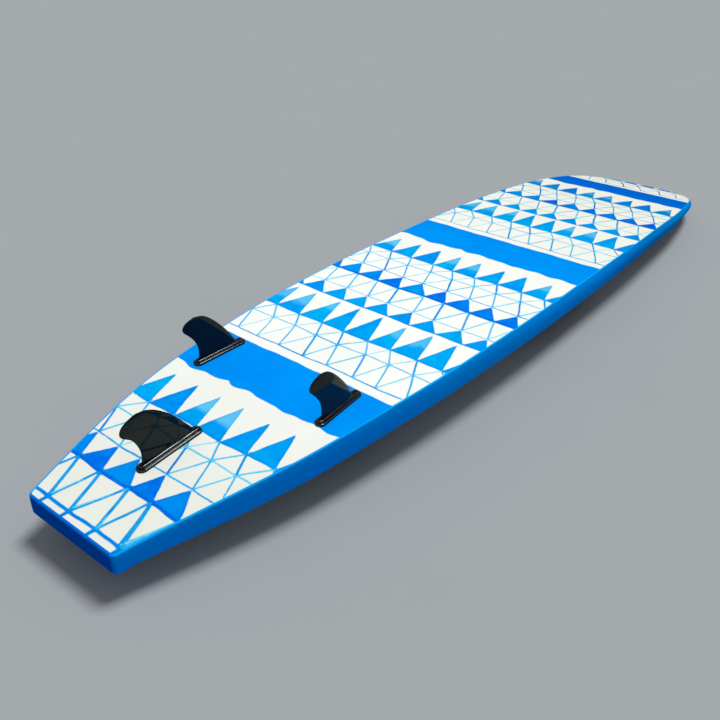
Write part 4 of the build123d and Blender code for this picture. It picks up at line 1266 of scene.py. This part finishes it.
def deck_material():
    m = Mat("deck_laminate_gloss", rough=0.25)
    vec = m.coord()
    cloud = m.noise(vec, scale=7, detail=5, rough=0.6)
    weave = m.times(m.wave(vec, "X", scale=260), m.wave(vec, "Y", scale=260))
    col = m.blend(cloud, srgb(226, 234, 238), srgb(238, 243, 245))
    col = m.mix(m.times(weave, 0.10), col, srgb(190, 205, 214))
    # two pinlines that follow the edge
    inset = m.attr("edge")
    ragged = m.swing(m.noise(vec, scale=60), gain=1.2)
    for middle, span, blue in ((20.0, (2.6, 3.6), srgb(0, 132, 232)),
                               (29.0, (0.7, 1.4), srgb(60, 178, 240))):
        off = m.math("ABSOLUTE", m.math("SUBTRACT", m.add(inset, ragged), middle))
        col = m.mix(m.remap(off, span=span, to=(1.0, 0.0)), col, blue)
    m.color(col)
    m.rough(m.spread(cloud, 0.16, 0.30))
    m.set("Coat Weight", 0.4)
    m.set("Coat Roughness", 0.1)
    m.bump(m.add(weave, m.times(m.noise(vec, scale=30), 1.5)), strength=0.10, distance=0.0003)
    return m


deck = build_deck()
register(deck, "deck_skin")
assign(deck, deck_material())

# ----------------------------------------------------------------- traction pads
# aft and forward station, width, pitch of the cross grooves, their shift in pitches
PADS = {"rear": (352.0, 556.0, 250.0, 20.4, 0.0), "front": (1010.0, 1300.0, 424.0, 19.4, 0.5)}
PAD_T = 5.0
PAD_CORNER_R = 34.0
PAD_BEVEL = 3.0
GROOVE_DEPTH = 1.5
LONG_GROOVE_PITCH = 26.4
GROOVE_OFFSETS = (-1.9, -1.5, -0.8, 0.8, 1.5, 1.9)     # mesh lines beside each groove


def round_rect(start, stop, width, r):
    """Rounded rectangle with 14 points to a corner, cut into steps of 5 mm or so."""
    corners = []
    for x, y, turn in ((stop - r, width / 2 - r, 0), (start + r, width / 2 - r, 90),
                       (start + r, -width / 2 + r, 180), (stop - r, -width / 2 + r, 270)):
        for t in np.radians(np.linspace(turn, turn + 90, 14)):
            corners.append((x + r * math.cos(t), y + r * math.sin(t)))
    corners = np.array(corners)
    points = []
    for a, b in zip(corners, np.roll(corners, -1, axis=0)):
        k = max(1, int(np.hypot(*(b - a)) / 5.0))
        points += [tuple(a + (b - a) * j / k) for j in range(k)]
    return points


def groove_distance(x, grooves):
    return np.min(np.abs(x[:, None] - grooves[None]), axis=1)


def mesh_lines(cells, grooves, gap):
    """Even cells away from the grooves, and close lines beside them."""
    lines = [cells[groove_distance(cells, grooves) > gap]]
    lines += [grooves + offset for offset in GROOVE_OFFSETS]
    return np.unique(np.round(np.concatenate(lines), 3))


def build_pad(key, start, stop, width, pitch, shift):
    loop = round_rect(start, stop, width, PAD_CORNER_R)
    rings = [round_rect(start + q, stop - q, width - 2 * q, PAD_CORNER_R - q)
             for q in (0.5, 1.2, 2.0, PAD_BEVEL)]
    holes = [(x, y, r) for points, r in ((spare_at, 7.6), (screw_at, 4.1))
             for x, y in points if start < x < stop]
    steps = np.arange(-20, 21)
    cross = (start + stop) / 2 + (steps + shift) * pitch
    cross = cross[(cross > start + 12) & (cross < stop - 12)]
    long = (steps + 0.5) * LONG_GROOVE_PITCH
    long = long[np.abs(long) < width / 2 - 14]
    xs = mesh_lines(np.arange(start + 3.5, stop - 3, 5.1), cross, gap=3.4)
    ys = mesh_lines(np.arange(-width / 2 + 3.5, width / 2 - 3, 6.6), long, gap=3.6)
    grid = np.array([(x, y) for x in xs for y in ys
                     if start + 3.4 < x < stop - 3.4 and abs(y) < width / 2 - 3.4])
    edge_distance = loop_distance(loop)

    def groove(x, y):
        """1 at the floor of a groove, 0 on the face and along the plain border."""
        nearest = np.minimum(groove_distance(x, cross), groove_distance(y, long))
        return np.where(edge_distance(x, y) < 9.0, 0, np.clip((1.55 - nearest) / 0.72, 0, 1))

    def face(x, y):
        d = np.clip(edge_distance(x, y), 0, PAD_BEVEL)
        off = (PAD_BEVEL - d) / PAD_BEVEL
        bevel = 2.4 * (1 - np.sqrt(np.clip(1 - off ** 2, 0, 1)))
        return deck_z(x) - (PAD_T - bevel - GROOVE_DEPTH * groove(x, y))

    return draped("traction_pad_" + key, loop, holes, grid, lambda x, y: deck_z(x) - 0.1, face,
                  rings=rings, attrs={"groove": groove}, sharp=30)


def pad_material():
    m = Mat("pad_eva_foam", rough=0.82)
    vec = m.coord()
    cloud = m.noise(vec, scale=30, detail=4)
    grain = m.noise(vec, scale=700, detail=3, rough=0.7)
    cells = m.texture("ShaderNodeTexVoronoi", vec, {}, dict(Scale=900))
    col = m.blend(cloud, srgb(38, 46, 56), srgb(50, 59, 70))
    col = m.mix(m.remap(m.attr("groove"), span=(0.1, 0.9)), col, srgb(8, 100, 168))
    m.color(m.mix(m.remap(grain, span=(0.35, 0.75), to=(0.0, 0.25)), col, srgb(88, 98, 110)))
    m.set("Sheen Weight", 0.25)
    m.set("Sheen Roughness", 0.5)
    m.set("Specular IOR Level", 0.25)
    m.bump(m.add(cells.outputs["Distance"], grain), strength=0.35, distance=0.0004)
    return m


pad_foam = pad_material()
for key, sizes in PADS.items():
    pad = build_pad(key, *sizes)
    register(pad, "pad_" + key)
    assign(pad, pad_foam)

# -------------------------------------------------------------------- footstraps
ARCH = 68.0                  # half span of the arch
STRAP_T = 7.0
STRAP_END = 108.0
SEAM_EVERY = 12              # sleeve rings between cross seams
PUFF_CAP = 1.5               # furthest the sleeve's cloth may move
CLOTH_FRAMES = 20


def strap_path(rise):
    """Middle line of the strap: a function of distance along it, and its length.

    The function gives (across, height, tangent across, tangent height).
    """
    low = STRAP_T / 2
    t = np.linspace(0.10, math.pi - 0.10, 61)
    c = np.cos(t)
    x = -np.sign(c) * ARCH * np.abs(c) ** 0.9 * ((ARCH - low) / ARCH)
    z = low + (rise - STRAP_T) * np.sin(t) ** 0.82
    tab = [(STRAP_END, low), (96.0, low), (84.0, low), (76.0, low + 0.15)]
    knots = np.array([(-a, b) for a, b in tab] + list(zip(x, z))[2:-2] + tab[::-1])
    lengths = path_lengths(knots)
    points = spline(lengths, knots)(np.linspace(0, lengths[-1], 900))
    travel = path_lengths(points)

    def place(q):
        return np.interp(q, travel, points[:, 0]), np.interp(q, travel, points[:, 1])

    def at(q):
        (x1, z1), (x2, z2) = place(q - 0.8), place(q + 0.8)
        tx, tz = x2 - x1, z2 - z1
        size = np.hypot(tx, tz)
        return (*place(q), tx / size, tz / size)
    return at, travel[-1]


def ribbon(at, start, stop, half_width, outer, inner, steps, columns, end_round, edge,
           crown=0.0):
    """Closed band along the path; outer and inner are its faces' offsets from the middle."""
    verts = []
    across = np.linspace(-1, 1, columns)
    for q in np.linspace(start, stop, steps):
        x, z, tx, tz = at(q)
        w = half_width
        to_end = min(q - start, stop - q)
        if to_end < end_round:
            w = half_width - end_round + math.sqrt(
                max(0.0, end_round**2 - (end_round - to_end) ** 2))
        for is_outer, us in ((True, across), (False, across[::-1])):
            for u in us:
                bulge = crown * (1 - u**2)
                pinch = edge if abs(u) > 0.999 else 0.0
                off = outer + bulge - pinch if is_outer else inner - bulge * 0.3 + pinch
                verts.append((x - tz * off, w * u, z + tx * off))
    size = 2 * columns
    return verts, tube_faces(steps, size) + end_caps(steps, size)


def stitches(at, start, stop, columns, offset, pitch=4.2):
    """Rows of short raised stitches lying on a band."""
    verts, faces = [], []
    for u in columns:
        for q in np.arange(start, stop, pitch):
            first = len(verts)
            for k in np.linspace(-1, 1, 5):
                x, z, tx, tz = at(q + k * 1.25)
                r = 0.42 * math.sqrt(max(0.06, 1 - (k * 0.97) ** 2))
                middle = offset + 0.12 * (1 - k * k)
                for t in np.linspace(0, 2 * math.pi, 7)[:-1]:
                    d = middle + r * math.sin(t)
                    verts.append((x - tz * d, u + r * math.cos(t), z + tx * d))
            faces += tube_faces(5, 6, first)
            faces += [tuple(first + k for k in cap) for cap in round_caps(5, 6)]
    return verts, faces


def strap_solid(name, shape, axes):
    origin, across, along, out = axes
    verts, faces = shape
    verts = [list(origin + across * x + along * y + out * z) for x, y, z in verts]
    ob = new_mesh(name, verts, faces)
    fix_normals(ob)
    return ob


def rest_on_floor(ob):
    for vertex in ob.data.vertices:
        if vertex.co.z < 0.0:
            vertex.co.z = 0.0
    ob.data.update()


def puff(ob, seams):
    """Cloth simulation: the sleeve swells between its pinned seams, up to PUFF_CAP."""
    rest = np.array([v.co for v in ob.data.vertices])
    ob.vertex_groups.new(name="seams").add(seams, 1.0, "REPLACE")
    cloth = ob.modifiers.new("cloth", "CLOTH")
    tuning = dict(
        quality=6, mass=0.15, tension_stiffness=12, compression_stiffness=10,
        shear_stiffness=6, bending_stiffness=0.4, use_pressure=True,
        uniform_pressure_force=3.5, vertex_group_mass="seams", pin_stiffness=1.0)
    for key, value in tuning.items():
        setattr(cloth.settings, key, value)
    cloth.settings.effector_weights.gravity = 0.0
    cloth.collision_settings.use_collision = False
    cloth.point_cache.frame_start, cloth.point_cache.frame_end = 1, CLOTH_FRAMES
    scene = bpy.context.scene
    for number in range(1, CLOTH_FRAMES + 1):
        scene.frame_set(number)
    evaluated = ob.evaluated_get(bpy.context.evaluated_depsgraph_get())
    moved = np.array([v.co for v in evaluated.to_mesh().vertices]) - rest
    evaluated.to_mesh_clear()
    ob.modifiers.clear()
    ob.vertex_groups.clear()
    size = np.linalg.norm(moved, axis=1, keepdims=True)
    moved = moved * np.minimum(1.0, PUFF_CAP * MM / np.maximum(size, 1e-9))
    ob.data.vertices.foreach_set("co", (rest + moved).ravel())
    ob.data.update()
    scene.frame_set(1)


def fabric(name, dark, light, scale, bump=0.5, sheen=0.5, rough=0.85):
    m = Mat(name, rough=rough)
    vec = m.coord()
    weave = m.times(m.wave(vec, "DIAGONAL", scale=scale), m.wave(vec, "Y", scale=scale * 1.3))
    grain = m.noise(vec, scale=600, detail=2)
    col = m.blend(m.noise(vec, scale=25, detail=5, rough=0.6), dark, light)
    shine = tuple(min(1, c * 2.2 + 0.01) for c in light)
    m.color(m.mix(m.times(weave, 0.35), col, shine))
    m.rough(m.spread(grain, rough - 0.06, min(1, rough + 0.06)))
    m.set("Sheen Weight", sheen)
    m.set("Sheen Roughness", 0.4)
    m.set("Specular IOR Level", 0.25)
    m.bump(m.add(weave, grain), strength=bump, distance=0.0005)
    return m


neoprene = fabric("strap_neoprene", srgb(20, 24, 31), srgb(32, 37, 45), scale=420)
webbing = fabric("strap_webbing", srgb(26, 29, 34), srgb(38, 42, 48), scale=300, bump=0.7,
                 sheen=0.3)
cover_blue = fabric("strap_cover_blue", srgb(0, 96, 178), srgb(0, 112, 200), scale=380, bump=0.6,
                    sheen=0.4)
thread = fabric("strap_thread", srgb(190, 215, 228), srgb(214, 232, 240), scale=900, bump=0.4,
                sheen=0.2, rough=0.7)


def strap_sleeve(key, at, length, axes):
    """Padded sleeve, quilted by cross seams and side seams."""
    steps, columns = 121, 17
    shape = ribbon(at, 30.0, length - 30.0, half_width=28.0, outer=1.3, inner=-2.0, steps=steps,
                   columns=columns, end_round=16.0, edge=1.2, crown=0.5)
    sleeve = strap_solid("strap_sleeve_" + key, shape, axes)
    seams = [i * 2 * columns + k for i in range(steps) for k in range(2 * columns)
             if i % SEAM_EVERY == 0 or k % columns in (0, columns - 1)
             or i < 3 or i > steps - 4]
    puff(sleeve, seams)
    rounding = sleeve.modifiers.new("round", "SUBSURF")
    rounding.levels = rounding.render_levels = 1
    rest_on_floor(sleeve)
    assign(sleeve, neoprene)
    return sleeve


def build_strap(key, station, y, turn):
    axes = deck_frame(station, y, turn, lift=PAD_T + 0.15)
    origin, _, _, out = axes
    at, length = strap_path(rise=origin.z / -out.z - 0.25)
    sleeve = strap_sleeve(key, at, length, axes)

    def band(name, start, stop, mat, **sizes):
        return finish(name, ribbon(at, start, stop, **sizes), mat)

    def finish(name, shape, mat):
        ob = strap_solid(name + "_" + key, shape, axes)
        rest_on_floor(ob)
        auto_sharp(ob, 50)
        assign(ob, mat)
        return ob

    # webbing under the sleeve, out to the screwed tabs
    web = band("strap_webbing", 0.4, length - 0.4, webbing, half_width=22.0, outer=-2.1,
               inner=-3.45, steps=160, columns=9, end_round=18.0, edge=0.35)
    # tabs of full thickness at both ends
    tabs = [band("strap_tab_" + end, start, stop, webbing, half_width=27.0, outer=3.45,
                 inner=-3.48, steps=34, columns=11, end_round=17.0, edge=0.9)
            for end, start, stop in (("a", 0.4, 40.0), ("b", length - 40.0, length - 0.4))]
    cover = band("strap_cover", 46.0, length - 46.0, cover_blue, half_width=19.0, outer=3.45,
                 inner=2.2, steps=140, columns=9, end_round=6.0, edge=0.4)
    sewing = finish("strap_stitching", stitches(at, 50.0, length - 50.0, columns=(-16.5, 16.5),
                                                offset=3.42), thread)
    for ob in [sleeve, web, cover, sewing] + tabs:
        register(ob, "footstrap_" + key)


for key, place in STRAPS.items():
    build_strap(key, *place)

# -------------------------------------------------------------------- leash loop
LOOP_R = 8.0
CORD_R = 1.44
LOOP_SINK = 0.66             # the loop's centre lies this far inside the deck


def leash_loop():
    """Ring of braided cord standing in the board's middle plane."""
    origin, across, along, out = deck_frame(LEASH_STATION, 0.0)
    centre = origin - out * LOOP_SINK
    rings, size = 150, 20
    verts = []
    for i in range(rings):
        turn = 2 * math.pi * i / rings
        radial = along * math.cos(turn) + out * math.sin(turn)
        for j in range(size):
            t = 2 * math.pi * j / size
            r = CORD_R + 0.16 * math.sin(14 * turn + 3 * t) * math.sin(14 * turn - 3 * t)
            verts.append(tuple(centre + radial * (LOOP_R + r * math.cos(t))
                               + across * (r * math.sin(t))))
    ob = new_mesh("leash_cord_braided", verts, tube_faces(rings, size, closed=True))
    fix_normals(ob)
    return ob


cord = leash_loop()
register(cord, "leash_loop", body="leash_loop_body")
assign(cord, fabric("cord_braid", srgb(14, 16, 20), srgb(28, 31, 36), scale=1400, bump=0.6,
                    sheen=0.4))


# ----------------------------------------------------- finishes for the CAD nodes
def smooth_by_angle():
    """Node group that shades smooth every edge that turns less than 34 degrees."""
    group = bpy.data.node_groups.new("soft_shade", "GeometryNodeTree")
    for direction in ("INPUT", "OUTPUT"):
        group.interface.new_socket("Geometry", in_out=direction,
                                   socket_type="NodeSocketGeometry")
    new, link = group.nodes.new, group.links.new
    source, result = new("NodeGroupInput"), new("NodeGroupOutput")
    angle = new("GeometryNodeInputMeshEdgeAngle")
    flat = new("FunctionNodeCompare")
    flat.data_type = "FLOAT"
    flat.operation = "LESS_THAN"
    flat.inputs[1].default_value = math.radians(34)
    edges, faces = new("GeometryNodeSetShadeSmooth"), new("GeometryNodeSetShadeSmooth")
    edges.domain = "EDGE"
    faces.domain = "FACE"
    link(angle.outputs["Unsigned Angle"], flat.inputs[0])
    link(source.outputs[0], edges.inputs["Geometry"])
    link(flat.outputs[0], edges.inputs["Shade Smooth"])
    link(edges.outputs[0], faces.inputs["Geometry"])
    link(faces.outputs[0], result.inputs[0])
    return group


def metal(name, dark, light, rough):
    m = Mat(name, dark, rough, metal=1.0)
    vec = m.coord((1, 1, 0.15))
    grain = m.noise(vec, scale=600, detail=2)
    m.color(m.blend(m.noise(vec, scale=60, detail=4), dark, light))
    m.rough(m.spread(grain, rough - 0.07, rough + 0.1))
    m.bump(grain, strength=0.15, distance=0.0002)
    return m


def solid(name, dark, light, rough, scale=40, grain_scale=700, bump=0.2):
    m = Mat(name, dark, rough)
    vec = m.coord()
    grain = m.noise(vec, scale=grain_scale, detail=3)
    m.color(m.blend(m.noise(vec, scale=scale, detail=4), dark, light))
    m.rough(m.spread(grain, rough - 0.05, rough + 0.08))
    m.bump(grain, strength=bump, distance=0.0003)
    return m


def plywood():
    m = Mat("stringer_ply", rough=0.55)
    plies = m.wave(m.coord((1, 1, 12)), "Z", scale=14, Distortion=3.0, Detail=3.0)
    m.color(m.ramp(plies, [(0.2, srgb(196, 160, 112)), (0.8, srgb(224, 194, 148))]))
    m.bump(plies, strength=0.2, distance=0.0003)
    return m


stainless = metal("stainless_brushed", (0.52, 0.53, 0.54), (0.62, 0.63, 0.64), rough=0.28)
brass = metal("brass_turned", (0.62, 0.43, 0.16), (0.72, 0.52, 0.22), rough=0.3)
plastic = solid("moulded_black_plastic", srgb(22, 23, 26), srgb(32, 33, 37), rough=0.38)
bead_foam = solid("core_bead_foam", srgb(226, 232, 236), srgb(240, 243, 245), rough=0.8,
                  scale=120, grain_scale=500, bump=0.5)
dense_foam = solid("block_dense_foam", srgb(196, 190, 150), srgb(214, 208, 170), rough=0.7,
                   scale=90, grain_scale=500, bump=0.3)
rubber = solid("seal_rubber_red", srgb(150, 32, 26), srgb(172, 42, 34), rough=0.55)
wood = plywood()
soft_shade = smooth_by_angle()
# material, slot, CAD nodes
FINISHES = (
    (bead_foam, "core_foam", "core_left core_right"),
    (wood, "stringer_wood", "stringer"),
    (dense_foam, "block_foam", "fin_block_centre fin_block_left fin_block_right"),
    (brass, "brass", "fin_inserts_centre fin_inserts_left fin_inserts_right"),
    (plastic, "black_plastic", "fin_plugs"),
    (stainless, "stainless", "fin_bolts"),
    (plastic, "black_plastic", "strap_plates"),
    (stainless, "stainless", "strap_washers strap_screws"),
    (brass, "brass", "deck_inserts"),
    (plastic, "black_plastic", "leash_plug"),
    (stainless, "stainless", "leash_bar"),
    (plastic, "black_plastic", "vent_plug"),
    (brass, "brass", "vent_screw"),
    (rubber, "seal_rubber", "vent_seal"))
for mat, slot, names in FINISHES:
    for name in names.split():
        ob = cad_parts[name]
        assign(ob, mat)
        ob.modifiers.new("soft_shade", "NODES").node_group = soft_shade


# -------------------------------------- floor, light, camera (metres from here on)
FLOOR_HALF = 60.0
SUN_TILT = math.radians(20)
SUN_DIRECTION = Vector((-math.sin(SUN_TILT), 0.075, -math.cos(SUN_TILT)))
CAMERA_AT = Vector((-1.49995, -0.8220, 0.8476))
CAMERA_RIGHT = Vector((0.6220, -0.7827, 0.0212))
CAMERA_FORWARD = Vector((0.6799, 0.5264, -0.5106))


def add_floor(scene):
    h = FLOOR_HALF
    me = bpy.data.meshes.new("floor")
    me.from_pydata([(-h, -h, 0), (h, -h, 0), (h, h, 0), (-h, h, 0)], [], [(0, 1, 2, 3)])
    floor = bpy.data.objects.new("floor", me)
    scene.collection.objects.link(floor)
    m = Mat("floor_paper", srgb(168, 173, 176), rough=0.9)
    cloud = m.spread(m.noise(m.coord(), scale=3))
    m.color(m.mix(cloud, (0.353, 0.376, 0.391), (0.360, 0.384, 0.399)))
    m.set("Specular IOR Level", 0.0)
    assign(floor, m)


def add_light(scene):
    world = bpy.data.worlds.new("studio")
    scene.world = world
    world.use_nodes = True
    background = world.node_tree.nodes["Background"]
    background.inputs["Color"].default_value = (0.97, 0.985, 1.0, 1)
    background.inputs["Strength"].default_value = 0.34
    sun = bpy.data.lights.new("softbox", "SUN")
    sun.energy = 2.42
    sun.angle = math.radians(20)
    sun.color = (1.0, 0.995, 0.98)
    ob = bpy.data.objects.new("softbox", sun)
    ob.rotation_euler = SUN_DIRECTION.to_track_quat("-Z", "Y").to_euler()
    scene.collection.objects.link(ob)


def add_camera(scene):
    cam = bpy.data.cameras.new("camera")
    cam.sensor_width = 36.0
    cam.lens = 39.33
    cam.clip_end = 200
    ob = bpy.data.objects.new("camera", cam)
    forward = CAMERA_FORWARD.normalized()
    up = CAMERA_RIGHT.normalized().cross(forward).normalized()
    right = forward.cross(up).normalized()
    turn = Matrix((right, up, -forward)).transposed().to_4x4()
    ob.matrix_world = Matrix.Translation(CAMERA_AT) @ turn
    scene.collection.objects.link(ob)
    scene.camera = ob


scene = bpy.context.scene
add_floor(scene)
add_light(scene)
add_camera(scene)
scene.view_settings.view_transform = "Standard"
scene.view_settings.look = "None"
